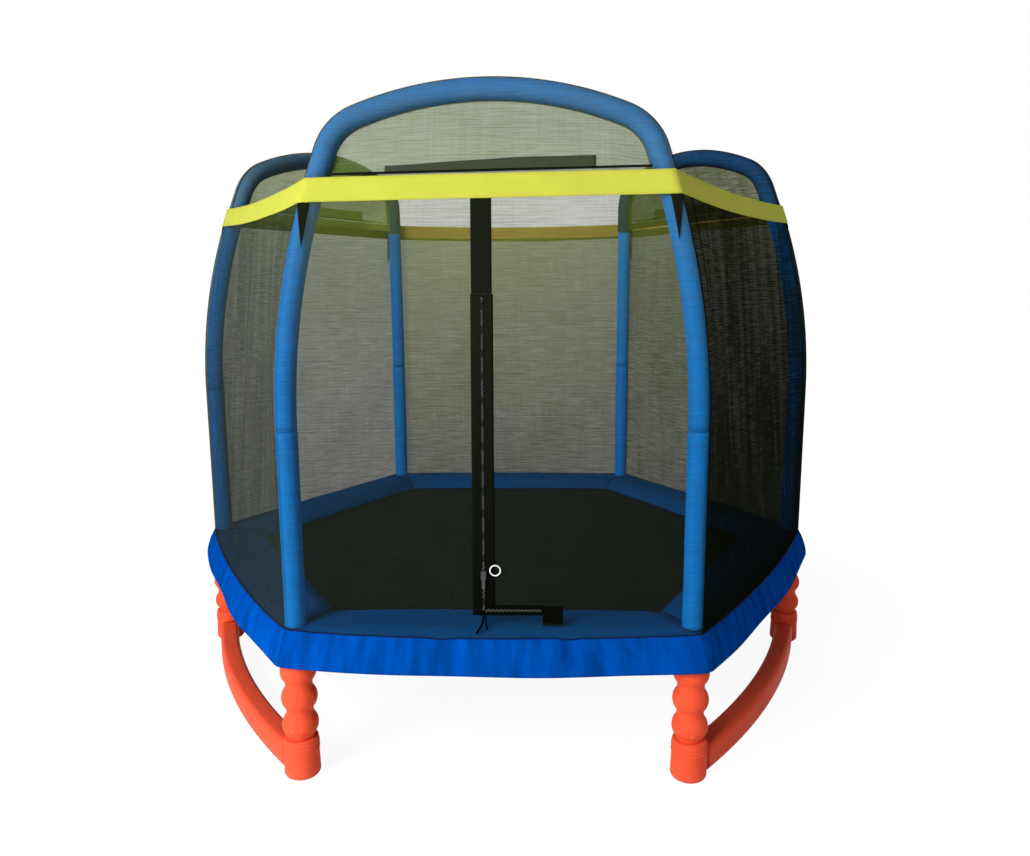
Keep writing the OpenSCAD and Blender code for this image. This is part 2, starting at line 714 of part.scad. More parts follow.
module arch_nets() {
    foot = arch_v(band_mid);
    cell_u = 2 * spring_h / arch_cols;
    cell_v = (crown_v + crown_r - foot) / arch_rows;
    color("#3a3d36") for (k = [1, 3, 5]) at_side(k) in_arch_plane()
        translate([plate_x, 0, 0]) rotate([90, 0, 90]) linear_extrude(net_t) difference() {
            polygon(arch_edge(0, foot));
            intersection() {
                polygon(arch_edge(arch_foam_d / 2 + arch_border,
                    arch_v(band_top) + strip_h + strand_w / 2));
                for (c = [0:arch_cols - 1]) for (r = [0:arch_rows - 1])
                    translate([(c - arch_cols / 2) * cell_u + strand_w / 2,
                               foot + r * cell_v + strand_w / 2])
                        square([cell_u - strand_w, cell_v - strand_w]);
            }
        }
}

// Corner i of the net's outline at a height, moved out from both of its sides.
function net_corner(i, z, off) =
    let (odd = i % 2, s = odd == 1 ? -1 : 1, q = 60 * (i - 2 + odd) + 30,
         a = edge_a(1, z) + off, h = s * (edge_h(1, z) + off * tan(30)))
    [a * cos(q) - h * sin(q), a * sin(q) + h * cos(q), z];
module net_band() {
    inner = net_t + 2 * seat;
    color("gold") sweep_ring([for (i = corners) [
        net_corner(i, band_z, inner), net_corner(i, band_z, inner + band_t),
        net_corner(i, band_top, inner + band_t), net_corner(i, band_top, inner)]]);
}
module arch_strips() {
    color("#17181a") for (k = [1, 3, 5]) at_side(k) in_arch_plane()
        translate([plate_x + net_t + seat, -strip_len / 2, arch_v(band_top) + strip_gap])
            cube([band_t, strip_len, strip_h]);
}

// ---- doorway ----

module in_door_plane() {
    at_side(5) translate([edge_a(5, pad_top), door_y, pad_top]) rotate([0, -door_tilt, 0])
        children();
}
module door_tape() {
    color("#121315") in_door_plane() {
        translate([tape_x, -tape_w / 2, seat]) cube([tape_t, tape_w, door_h - 2]);
        translate([tape_x, tape_w / 2 - 1, zip_low - leg_tape_h / 2 + seat])
            cube([tape_t, zip_leg + 1 - tape_w / 2, leg_tape_h]);
        translate([tape_x, zip_leg - 1, patch_z]) cube([tape_t, patch_w, patch_w]);
        translate([ring_x, ring_y - ring_major, ring_v - sleeve_len / 2])
            ring(sleeve_d, sleeve_bore_d, sleeve_len, $fn = 32);
    }
}
module zip_teeth() {
    color("#5d6166") in_door_plane() {
        translate([tape_x1, -teeth_w / 2, zip_low]) cube([teeth_t, teeth_w, zip_high - zip_low]);
        translate([tape_x1, -teeth_w / 2, zip_low - teeth_w / 2])
            cube([teeth_t, zip_leg - 2 + teeth_w / 2, teeth_w]);
    }
}
module zip_slider() {
    color("#8d9096") in_door_plane() {
        translate([0, 0, slider_v]) difference() {
            translate([tape_x1 + seat, -slider_w / 2, -slider_len / 2])
                cube([slider_x1 - tape_x1 - seat, slider_w, slider_len]);
            translate([tape_x1 - 1, -teeth_w / 2 - seat, -slider_len])
                cube([teeth_t + seat + 1, teeth_w + 2 * seat, 2 * slider_len]);
        }
        for (s = [0, 1]) mirror([0, s, 0])
            translate([slider_x1 - 1, lug_y, pull_v - eye_d / 2])
                cube([pull_x - slider_x1 + eye_d / 2 + 2, lug_t, eye_d]);
        translate([pull_x, -lug_y - lug_t / 2, pull_v]) rotate([-90, 0, 0])
            cylinder(d = pull_pin_d, h = 2 * lug_y + lug_t, $fn = 32);
    }
}
module zip_pull() {
    color("#a4a8ad") in_door_plane() translate([pull_x, 0, pull_v]) difference() {
        union() {
            translate([0, -eye_w / 2, 0]) rotate([-90, 0, 0])
                cylinder(d = eye_d, h = eye_w, $fn = 32);
            translate([-pull_t / 2, -eye_w / 2, eye_w / 2 - pull_len])
                cube([pull_t, eye_w, pull_len - eye_w / 2]);
            translate([-pull_t / 2, 0, eye_w / 2 - pull_len]) rotate([0, 90, 0])
                cylinder(d = eye_w, h = pull_t);
        }
        translate([0, -eye_w, 0]) rotate([-90, 0, 0])
            cylinder(d = pull_pin_d + 2 * seat, h = 2 * eye_w, $fn = 32);
    }
}
module door_ring() {
    color("whitesmoke") in_door_plane() translate([ring_x, ring_y, ring_v])
        rotate([0, 90, 0]) rotate_extrude() translate([ring_major, 0]) circle(d = ring_wire, $fn = 24);
}

// ---- fasteners ----

module screw(grip) {
    translate([0, 0, seat]) cylinder(d = screw_head_d, h = screw_head_h, $fn = 24);
    translate([0, 0, -grip]) cylinder(d = screw_d, h = grip + seat + 1, $fn = 16);
}
module frame_screws() {
    color("gray") for (i = corners) at_corner(i) {
        for (z = socket_screw_z) translate([socket_d / 2, 0, z]) rotate([0, 90, 0])
            screw(screw_grip);
        for (s = [-120, 120]) rotate([0, 0, s])
            translate([arm_screw_r, 0, rail_z - rail_d / 2]) rotate([180, 0, 0])
                screw(arm_screw_grip);
    }
}

for (i = corners) {
    top_rail(i);
    corner_bracket(i);
    leg_cover(i);
    lower_pole(i);
    lower_foam(i);
}
for (i = [1:3]) {
    leg_frame(2 * i);
    foot_base(2 * i);
    arch_tube(2 * i - 1);
    arch_foam(2 * i - 1);
}
jump_mat();
mat_rings();
springs();
safety_pad();
pad_skirt();
pad_ties();
net_walls();
arch_nets();
net_band();
arch_strips();
door_tape();
zip_teeth();
zip_slider();
zip_pull();
door_ring();
frame_screws();
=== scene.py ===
"""Hexagonal play trampoline with a netted enclosure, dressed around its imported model."""

import math

import bmesh
import bpy
from mathutils import Matrix, Vector, noise


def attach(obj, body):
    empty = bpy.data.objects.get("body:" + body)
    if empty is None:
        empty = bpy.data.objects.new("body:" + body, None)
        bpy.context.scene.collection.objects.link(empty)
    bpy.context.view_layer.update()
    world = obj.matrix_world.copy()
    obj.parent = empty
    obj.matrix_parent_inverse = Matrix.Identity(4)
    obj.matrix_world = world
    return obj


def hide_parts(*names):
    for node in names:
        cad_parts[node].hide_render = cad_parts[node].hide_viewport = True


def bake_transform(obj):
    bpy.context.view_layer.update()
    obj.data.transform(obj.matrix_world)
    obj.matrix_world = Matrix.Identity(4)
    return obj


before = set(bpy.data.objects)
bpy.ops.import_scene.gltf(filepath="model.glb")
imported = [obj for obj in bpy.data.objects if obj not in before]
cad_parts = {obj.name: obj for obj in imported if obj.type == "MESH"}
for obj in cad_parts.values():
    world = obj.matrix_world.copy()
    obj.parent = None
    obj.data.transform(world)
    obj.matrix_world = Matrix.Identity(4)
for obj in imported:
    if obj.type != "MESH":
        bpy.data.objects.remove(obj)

bl_info = {
    "name": "Hexagonal Trampoline",
    "version": (1, 0, 0),
    "blender": (4, 5, 0),
    "location": "View3D > Sidebar > Trampoline",
    "description": "Builds the fabric, foam, mouldings and fittings of an enclosed play trampoline",
    "category": "Add Mesh",
}


# ---- sizes and colours ----------------------------------------------------------------


def length(name, default, description):
    """A length that a user can change, in metres."""
    return bpy.props.FloatProperty(
        name=name, description=description, default=default, min=0.0, precision=4, unit="LENGTH"
    )


def colour(name, default, description):
    """A finish colour, linear."""
    return bpy.props.FloatVectorProperty(
        name=name, description=description, default=default, min=0.0, max=1.0, size=3, subtype="COLOR"
    )


class TrampolineSizes(bpy.types.PropertyGroup):
    foam_diameter: length("Lower foam diameter", 0.055, "Outside of the foam on the lower poles")
    arch_foam_diameter: length("Arch foam diameter", 0.053, "Outside of the foam on the arches")
    sleeve_gap: length("Sleeve gap", 0.0022, "Slack between the arch foam and its mesh sleeve")
    bead_diameter: length("Bead diameter", 0.093, "Widest part of a leg bead")
    neck_diameter: length("Neck diameter", 0.070, "Narrowest part between two leg beads")
    net_cell: length("Mesh rib pitch", 0.0078, "Distance between two ribs of the knitted net")
    zip_pitch: length("Zip pitch", 0.0052, "Distance between two zip teeth")
    pad_cap: length("Pad swell", 0.006, "Furthest that the pad's cover swells out")


class TrampolineColours(bpy.types.PropertyGroup):
    foam: colour("Foam", (0.001, 0.30, 0.95), "Foam sleeves on the poles and arches")
    pad: colour("Pad", (0.0, 0.088, 0.31), "Cover of the safety pad")
    skirt: colour("Skirt", (0.0, 0.055, 0.31), "Skirt sewn to the pad")
    moulding: colour("Moulding", (0.75, 0.080, 0.032), "Leg beads, foot cups and ground rails")
    band: colour("Band", (0.49, 0.505, 0.058), "Band round the top of the net")
    mat: colour("Mat", (0.0045, 0.0055, 0.0045), "Woven jumping mat")
    webbing: colour("Webbing", (0.008, 0.010, 0.006), "Tape, strips and ties")


def sizes():
    """The sizes as they are set in the scene."""
    return bpy.context.scene.trampoline_sizes


def colours():
    """The finish colours as they are set in the scene."""
    return bpy.context.scene.trampoline_colours


# ---- the frame's own geometry, in metres -------------------------------------------------

SIDE = math.cos(math.radians(30))  # a hexagon's inner radius, where its corner radius is 1
TAN = math.tan(math.radians(30))  # half a side of a hexagon, where its inner radius is 1
CORNERS = range(1, 7)
FRONT = 5  # the side with the doorway
SEAT = 0.0003  # clearance between pieces that lie on each other
CORNER_R = 1.012  # from the middle to each pole's axis, and as long as a side
AXIS_A = CORNER_R * SIDE  # from the middle to the line between two poles' axes
RAIL_Z = 0.375  # axis of the top rails
RAIL_R = 0.016
PAD_Z = 0.3913  # underside of the pad
PAD_TOP = 0.4107
PAD_INNER = AXIS_A - 0.1374
PAD_OUTER = AXIS_A + 0.0315
SKIRT_H = 0.091
MAT_A = AXIS_A - 0.1244  # edge of the mat
V_LEN = 0.030  # length of a V ring
JOINT_Z = 0.915  # joint between a lower pole and its arch
SPRING_Z = 1.537  # height at which a bowed post goes over into the leaning arch
BOW_R = 1.796  # radius of a post's bow
BOW = math.asin((SPRING_Z - JOINT_Z) / BOW_R)
BOW_PLAN = math.radians(54)  # the bow's direction in plan, turned towards the arch's middle
NET_T = 0.0015
BAND_Z = 1.476  # lower edge of the band
BAND_H = 0.058
BAND_TOP = BAND_Z + BAND_H
NET_OFF = 0.0275 + 0.0008 + ((BAND_TOP - PAD_TOP) / 7) ** 2 / 8 / BOW_R  # foam, gap and the flats' rise
STRAND = 0.026 / (CORNER_R / 2)  # share of a side next to a post where the net follows the bow
FLAT = 0.28  # share of a side, in its middle, where the net is drawn straight
DOOR_X = -0.022  # the zip's place along the front
DOOR_SLIT = 0.016  # how far the front net is parted behind the zip
ZIP_LOW, ZIP_HIGH, ZIP_LEG = 0.054, 0.830, 0.147  # foot and head of the zip, and reach of its level leg
TAPE_W, TAPE_T, TAPE_X = 0.055, 0.0016, 0.0019  # the tape's width and thickness, and its place off the net
TAPE_FRONT = TAPE_X + TAPE_T
PATCH_W, PATCH_Z = 0.050, 0.015  # the square patch at the end of the level leg
LEVEL_HALF = 0.013  # half the height of the tape's level leg
LEG_BORE = 0.0165  # radius of the hole for a leg's tube
RAIL_BOW = 0.057  # how far a ground rail bows outwards
NET_EDGE = 0.0262  # where an arch's net ends, inside the tube's middle line
SOCK_BELOW = 0.035  # how far an arch's mesh sleeve reaches below its straight feet
CORNER_DROP = {5: 0.0145, 6: -0.002}  # corners where the band sits low or high
CORNER_SAG = {6: 0.009}  # corner where the pad's seam sits low
PAD_BELLY, PAD_HANG = 0.028, 0.009  # how far the pad's edge stands out and hangs, in the middle of a side
NET_HANG, NET_HANG_Z = 0.011, 1.15  # how far the net hangs where no arch holds it, and from which height


def clamp(value):
    """A share kept between 0 and 1."""
    return max(0.0, min(1.0, value))


def ease(share):
    """A share that starts and ends gently."""
    share = clamp(share)
    return share * share * (3 - 2 * share)


def pole_at(k, z):
    """Where a side's poles stand: out from the middle, and along from the side's middle."""
    if z <= JOINT_Z:
        shift = 0.0
    elif z <= SPRING_Z:
        shift = BOW_R - math.sqrt(BOW_R**2 - (z - JOINT_Z) ** 2)
    else:
        shift = BOW_R * (1 - math.cos(BOW)) + (z - SPRING_Z) * math.tan(BOW)
    out, along = AXIS_A - shift * math.cos(BOW_PLAN), CORNER_R / 2 - shift * math.sin(BOW_PLAN)
    if k % 2:
        return out, along
    return out / 2 + along * SIDE, out * SIDE - along / 2


def edge_a(k, z):
    """Distance of the net's inside from the middle, square to a side, next to the posts."""
    return pole_at(k, z)[0] + NET_OFF


def edge_h(k, z):
    """Half the width of the net's wall at a height."""
    return pole_at(k, z)[1] + NET_OFF * TAN


def wall_a(k, t, z):
    """The same at a place along the side, -1 to 1 from corner to corner: drawn in between posts."""
    if z >= BAND_Z:
        return edge_a(k, z)
    low, high = edge_a(k, PAD_TOP), edge_a(k, BAND_Z)
    line = low + (high - low) * min(1.0, (z - PAD_TOP) / (BAND_Z - PAD_TOP))
    share = clamp((abs(t) - FLAT) / (1 - STRAND - FLAT))
    return edge_a(k, z) - (edge_a(k, z) - line) * (1 - share**2)


def band_a(k, z):
    """Distance of the band's inside from the middle, square to a side: flat from edge to edge."""
    share = (z - BAND_Z) / BAND_H
    return edge_a(k, BAND_Z) * (1 - share) + edge_a(k, BAND_TOP) * share + NET_T + 2 * SEAT


def band_h(k, z):
    """Half the band's length along a side."""
    share = (z - BAND_Z) / BAND_H
    return edge_h(k, BAND_Z) * (1 - share) + edge_h(k, BAND_TOP) * share + (NET_T + 2 * SEAT) * TAN


def corner_drop(k, t):
    """How far the band sits below its line, drawn out from corner to corner of a side."""
    return CORNER_DROP.get(k, 0.0) * (1 - t) / 2 + CORNER_DROP.get(k % 6 + 1, 0.0) * (1 + t) / 2


def belly(t):
    """How far the pad's outer edge and its skirt stand out between two corners."""
    return PAD_BELLY * (1 - t * t)


def sag(k, t):
    """How far the pad's edge seam hangs: between the corners, and at the corner that sits low."""
    at_end = CORNER_SAG.get(k, 0.0) if t < 0 else CORNER_SAG.get(k % 6 + 1, 0.0)
    return PAD_HANG * (1 - t * t) + at_end * t * t


SPRING_A, SPRING_H = pole_at(1, SPRING_Z)
TILT = math.atan(math.cos(BOW_PLAN) * math.tan(BOW))  # how far an arch's plane leans inwards
LEAN = math.asin(math.sin(BOW) * math.sin(BOW_PLAN))  # how far its feet lean towards each other
STRAIGHT = 0.055  # length of an arch's straight feet
SHOULDER_R = 0.130
CROWN_R = 0.843
SHOULDER_U = SPRING_H - STRAIGHT * math.sin(LEAN) - SHOULDER_R * math.cos(LEAN)
SHOULDER_V = STRAIGHT * math.cos(LEAN) - SHOULDER_R * math.sin(LEAN)
CROWN = math.acos(SHOULDER_U / (CROWN_R - SHOULDER_R))
CROWN_V = SHOULDER_V - (CROWN_R - SHOULDER_R) * math.sin(CROWN)
PLATE_X = NET_OFF * math.cos(TILT)
DOOR_TILT = math.atan((edge_a(FRONT, PAD_TOP) - edge_a(FRONT, BAND_Z)) / (BAND_Z - PAD_TOP))
DOOR_H = (BAND_Z - PAD_TOP) / math.cos(DOOR_TILT)


def turn(degrees):
    """A turn about the upright axis."""
    return Matrix.Rotation(math.radians(degrees), 4, "Z")


def side_turn(k):
    """From a side's own frame, X outwards and Y along it, to the whole frame."""
    return turn(60 * (k - 1) + 30)


def corner_turn(i):
    """From a corner's own frame, X outwards, to the whole frame."""
    return turn(60 * (i - 1))


def arch_plane():
    """From an arch's leaning plane, X outwards, Y along and Z up it, to its side's own frame."""
    return Matrix.Translation((SPRING_A, 0, SPRING_Z)) @ Matrix.Rotation(-TILT, 4, "Y")


def arch_frame(k):
    """From an arch's leaning plane to the whole frame."""
    return side_turn(k) @ arch_plane()


def door_frame():
    """From the doorway's plane, X outwards, Y to the right and Z up it, to the whole frame."""
    base = Matrix.Translation((edge_a(FRONT, PAD_TOP), DOOR_X, PAD_TOP))
    return side_turn(FRONT) @ base @ Matrix.Rotation(-DOOR_TILT, 4, "Y")


def ruffle(x, y, z=0.0, scale=1.0, seed=0.0):
    """Smooth noise from -1 to 1."""
    return noise.noise(Vector((x * scale + seed, y * scale - seed, z * scale + 0.37 * seed)))


# ---- mesh helpers ------------------------------------------------------------------------


def make_piece(name, bm, finish, body="frame", smooth=True):
    """Turns a bmesh into a finished piece that rides on a body."""
    mesh = bpy.data.meshes.new(name)
    bm.to_mesh(mesh)
    bm.free()
    for face in mesh.polygons:
        face.use_smooth = smooth
    piece = bpy.data.objects.new(name, mesh)
    bpy.context.scene.collection.objects.link(piece)
    piece.data.materials.append(material(finish))
    if body:
        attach(piece, body)
    return piece


def material(name):
    """A finish by its name."""
    return bpy.data.materials[name]


def sheet_mesh(columns, rows, place, size, loop=False):
    """A grid put in place by place(u, v), with u and v from 0 to 1 and a UV map in metres."""
    bm = bmesh.new()
    bmesh.ops.create_grid(bm, x_segments=columns, y_segments=rows, size=0.5)
    lay_uv(bm, lambda co: ((co.x + 0.5) * size[0], (co.y + 0.5) * size[1]))
    for vert in bm.verts:
        vert.co = place(vert.co.x + 0.5, vert.co.y + 0.5)
    if loop:
        bmesh.ops.remove_doubles(bm, verts=bm.verts, dist=1e-5)
    bmesh.ops.recalc_face_normals(bm, faces=bm.faces)
    return bm


def lay_uv(bm, place):
    """Sets the UV map, in metres, from place(co)."""
    uv = bm.loops.layers.uv.get("UVMap") or bm.loops.layers.uv.new("UVMap")
    for face in bm.faces:
        for corner in face.loops:
            corner[uv].uv = place(corner.vert.co)


def face_out(bm, out=None):
    """Turns a sheet over that looks against a way, or towards the frame's middle."""
    if sum(face.normal.dot(out or face.calc_center_median()) for face in bm.faces) < 0:
        bmesh.ops.reverse_faces(bm, faces=bm.faces)


def thicken(piece, thickness, offset=0.0):
    """Gives a sheet its thickness."""
    wall = piece.modifiers.new("Thickness", "SOLIDIFY")
    wall.thickness = thickness
    wall.offset = offset
    wall.use_even_offset = True
    return piece


def spun(profile, steps, place):
    """Spins a profile of (radius, height) about Z and moves it into place. Ends on the axis close."""
    bm = bmesh.new()
    verts = [bm.verts.new((r, 0, z)) for r, z in profile]
    edges = [bm.edges.new(pair) for pair in zip(verts, verts[1:])]
    bmesh.ops.spin(
        bm, geom=verts + edges, cent=(0, 0, 0), axis=(0, 0, 1), angle=2 * math.pi,
        steps=steps, use_merge=True,
    )
    bmesh.ops.remove_doubles(bm, verts=bm.verts, dist=1e-5)
    bmesh.ops.recalc_face_normals(bm, faces=bm.faces)
    bmesh.ops.transform(bm, matrix=place, verts=bm.verts)
    return bm


def sewn(parts):
    """One bmesh from sheets that meet edge to edge."""
    whole = joined(parts)
    bmesh.ops.remove_doubles(whole, verts=whole.verts, dist=1e-4)
    bmesh.ops.recalc_face_normals(whole, faces=whole.faces)
    return whole


def joined(parts):
    """One bmesh from several."""
    whole = bmesh.new()
    for part in parts:
        mesh = bpy.data.meshes.new("part")
        part.to_mesh(mesh)
        part.free()
        whole.from_mesh(mesh)
        bpy.data.meshes.remove(mesh)
    return whole


def tubes(runs, radius, closed=False, roundness=3):
    """Round tubes along lists of points, as one bmesh."""
    curve = bpy.data.curves.new("run", "CURVE")
    curve.dimensions = "3D"
    curve.bevel_depth = radius
    curve.bevel_resolution = roundness
    curve.use_fill_caps = not closed
    for points in runs:
        spline = curve.splines.new("POLY")
        spline.points.add(len(points) - 1)
        for point, place in zip(spline.points, points):
            point.co = (*place, 1.0)
        spline.use_cyclic_u = closed
    holder = bpy.data.objects.new("run", curve)
    bpy.context.scene.collection.objects.link(holder)
    bpy.context.view_layer.update()
    graph = bpy.context.evaluated_depsgraph_get()
    mesh = bpy.data.meshes.new_from_object(holder.evaluated_get(graph))
    bm = bmesh.new()
    bm.from_mesh(mesh)
    bpy.data.objects.remove(holder)
    bpy.data.curves.remove(curve)
    bpy.data.meshes.remove(mesh)
    bmesh.ops.remove_doubles(bm, verts=bm.verts, dist=1e-6)
    bmesh.ops.recalc_face_normals(bm, faces=bm.faces)
    return bm


def box(low, high, bevel=0.0, segments=2):
    """A block between two corners, with rounded edges."""
    bm = bmesh.new()
    bmesh.ops.create_cube(bm, size=1.0)
    for vert in bm.verts:
        vert.co = Vector([l + (h - l) * (c + 0.5) for l, h, c in zip(low, high, vert.co)])
    if bevel:
        bmesh.ops.bevel(
            bm, geom=bm.edges, offset=bevel, offset_type="OFFSET", affect="EDGES",
            segments=segments, profile=0.5, material=-1,
        )
    return bm


# ---- shader helpers ------------------------------------------------------------------------


def node(tree, kind, inputs=None, **settings):
    """A shader node, with its settings, and each input given a value or joined to a socket."""
    made = tree.nodes.new("ShaderNode" + kind)
    for key, value in settings.items():
        setattr(made, key, value)
    for key, value in (inputs or {}).items():
        if isinstance(value, bpy.types.NodeSocket):
            tree.links.new(value, made.inputs[key])
        else:
            made.inputs[key].default_value = value
    return made


def maths(tree, operation, a, b=0.0, c=0.0):
    """A sum of values or sockets."""
    return node(tree, "Math", {0: a, 1: b, 2: c}, operation=operation).outputs[0]


def spread(tree, value, low, high, to_low=0.0, to_high=1.0):
    """Maps a value from one range to another, clamped."""
    return node(tree, "MapRange", {0: value, 1: low, 2: high, 3: to_low, 4: to_high}).outputs[0]


def noise_at(tree, place, scale, detail=2.0, roughness=0.5):
    """Smooth noise over a surface."""
    settings = {"Vector": place, "Scale": scale, "Detail": detail, "Roughness": roughness}
    return node(tree, "TexNoise", settings).outputs[0]


def axis(tree, place, number):
    """One coordinate of a place: 0, 1 or 2 for X, Y or Z."""
    return node(tree, "SeparateXYZ", {0: place}).outputs[number]


def mixed(tree, factor, a, b, blend="MIX"):
    """Two colours, or a colour and a value, mixed or multiplied."""
    made = node(tree, "Mix", data_type="RGBA", blend_type=blend)
    for key, value in (("Factor_Float", factor), ("A_Color", a), ("B_Color", b)):
        socket = next(s for s in made.inputs if s.identifier == key)
        if isinstance(value, bpy.types.NodeSocket):
            tree.links.new(value, socket)
        else:
            socket.default_value = (*value, 1.0) if hasattr(value, "__len__") and len(value) == 3 else value
    return next(s for s in made.outputs if s.identifier == "Result_Color")


def group(name, inputs, outputs):
    """An empty shader group with vector input Place and float inputs, what it is given and its end."""
    tree = bpy.data.node_groups.new(name, "ShaderNodeTree")
    tree.interface.new_socket("Place", in_out="INPUT", socket_type="NodeSocketVector")
    for key, default in inputs.items():
        made = tree.interface.new_socket(key, in_out="INPUT", socket_type="NodeSocketFloat")
        made.default_value = default
    for key in outputs:
        tree.interface.new_socket(key, in_out="OUTPUT", socket_type="NodeSocketFloat")
    return tree, tree.nodes.new("NodeGroupInput").outputs, tree.nodes.new("NodeGroupOutput")


def put_out(tree, end, **values):
    """Joins a group's results to its outputs."""
    for key, value in values.items():
        tree.links.new(value, end.inputs[key])


def weave_group():
    """Over-and-under threads of a cloth: Thread is painted lighter on top and darker in the hollows, painted
    shade of the weave, with random slubs; Height stands proud.
    """
    tree, given, end = group("cloth weave", {"Pitch": 0.0016, "Slub": 0.5}, ("Thread", "Height", "Patch"))
    place = given["Place"]
    scale = maths(tree, "DIVIDE", 2 * math.pi, given["Pitch"])
    across = maths(tree, "SINE", maths(tree, "MULTIPLY", axis(tree, place, 0), scale))
    along = maths(tree, "SINE", maths(tree, "MULTIPLY", axis(tree, place, 1), scale))
    cross = maths(tree, "MULTIPLY", across, along)
    slub = noise_at(tree, place, 260.0, 3.0)
    rough = maths(tree, "MULTIPLY", maths(tree, "SUBTRACT", slub, 0.5), given["Slub"])
    height = maths(tree, "ADD", maths(tree, "MULTIPLY", cross, 0.5), rough)
    # Thread: the weave's height, used as painted highlight on its tops and painted shade in its hollows
    thread = maths(tree, "MULTIPLY_ADD", height, 0.5, 0.5)
    put_out(tree, end, Thread=thread, Height=height, Patch=noise_at(tree, place, 9.0, 4.0))


def grain_group():
    """Fine grain of a moulding, its faint flow marks, and scuffs."""
    tree, given, end = group("moulded grain", {"Grain": 900.0, "Scuff": 0.5}, ("Height", "Flow", "Scuffs"))
    place = given["Place"]
    scuffs = spread(tree, noise_at(tree, place, 55.0, 6.0, 0.75), 0.60, 0.72)
    put_out(
        tree, end,
        Height=noise_at(tree, place, given["Grain"]),
        Flow=noise_at(tree, place, 14.0, 5.0, 0.6),
        Scuffs=maths(tree, "MULTIPLY", scuffs, given["Scuff"]),
    )


def mesh_group():
    """Knitted net: how much it covers, with ribs across, thin runs of thread, folds and uneven tension."""
    inputs = {"Cover": 0.55, "Pitch": 0.0078, "Folds": 0.0}
    tree, given, end = group("knitted net", inputs, ("Cover", "Rib", "Streak"))
    place = given["Place"]
    wander = noise_at(tree, place, 5.0)
    level = maths(tree, "MULTIPLY_ADD", wander, 0.010, axis(tree, place, 1))
    turns = maths(tree, "DIVIDE", maths(tree, "MULTIPLY", level, 2 * math.pi), given["Pitch"])

    def drawn_out(across, up, detail):
        """Noise drawn out along one way, by its scales across and up the net."""
        runs = node(tree, "Mapping", {"Vector": place, "Scale": (across, up, 1.0)})
        return noise_at(tree, runs.outputs[0], 1.0, detail, 0.65)

    streak = drawn_out(11.0, 190.0, 3.0)
    waves = spread(tree, maths(tree, "SINE", turns), 0.0, 1.0)
    rib = maths(tree, "MULTIPLY", waves, spread(tree, streak, 0.38, 0.62))
    cover = maths(tree, "MULTIPLY_ADD", rib, 0.09, given["Cover"])
    for value, share in (
        (streak, 0.30),
        (drawn_out(130.0, 5.0, 2.0), 0.10),  # threads upwards
        (drawn_out(3.2, 3.2, 2.0), 0.10),  # uneven tension
        (drawn_out(26.0, 1.6, 3.0), given["Folds"]),
    ):
        away = maths(tree, "SUBTRACT", value, 0.5)
        cover = maths(tree, "ADD", cover, maths(tree, "MULTIPLY", away, share))
    put_out(tree, end, Cover=spread(tree, cover, 0.0, 0.98, 0.0, 0.98), Rib=rib, Streak=streak)


def metal_group():
    """Spangle of a zinc coat, its dull patches and fine scratches."""
    tree, given, end = group("zinc coat", {"Spangle": 160.0}, ("Spangle", "Dull", "Height"))
    place = given["Place"]
    cells = node(tree, "TexVoronoi", {"Vector": place, "Scale": given["Spangle"]})
    put_out(
        tree, end,
        Spangle=axis(tree, cells.outputs["Color"], 0),
        Dull=noise_at(tree, place, 22.0, 5.0),
        Height=noise_at(tree, place, 1400.0),
    )


def start_material(name):
    """A new finish: its tree and its shader."""
    made = bpy.data.materials.new(name)
    made.use_nodes = True
    tree = made.node_tree
    tree.nodes.clear()
    shader = node(tree, "BsdfPrincipled")
    node(tree, "OutputMaterial", {"Surface": shader.outputs[0]})
    return tree, shader


def put_group(tree, name, place, **values):
    """Places a shared effect in a finish with its own values."""
    made = tree.nodes.new("ShaderNodeGroup")
    made.node_tree = bpy.data.node_groups[name]
    for key, value in {"Place": place, **values}.items():
        if isinstance(value, bpy.types.NodeSocket):
            tree.links.new(value, made.inputs[key])
        else:
            made.inputs[key].default_value = value
    return made.outputs


def object_place(tree):
    """A place in the object's own coordinates."""
    return node(tree, "TexCoord").outputs["Object"]


def uv_place(tree):
    """A place on the piece's own UV map, in metres."""
    return node(tree, "UVMap", uv_map="UVMap").outputs[0]


def raise_bump(tree, shader, height, distance):
    """Relief too fine to model."""
    bump = node(tree, "Bump", {"Height": height, "Distance": distance, "Strength": 1.0})
    tree.links.new(bump.outputs[0], shader.inputs["Normal"])


def finish_shader(tree, shader, tone, patches, roughness, gloss=None):
    """Joins a finish's colour and its patchy roughness, from low to high, and sets its gloss."""
    tree.links.new(tone, shader.inputs["Base Color"])
    tree.links.new(spread(tree, patches, 0.3, 0.7, *roughness), shader.inputs["Roughness"])
    if gloss is not None:
        shader.inputs["Specular IOR Level"].default_value = gloss


def shades(base, dark, light):
    """The same colour darker and lighter."""
    return tuple(c * dark for c in base), tuple(min(1.0, c * light) for c in base)


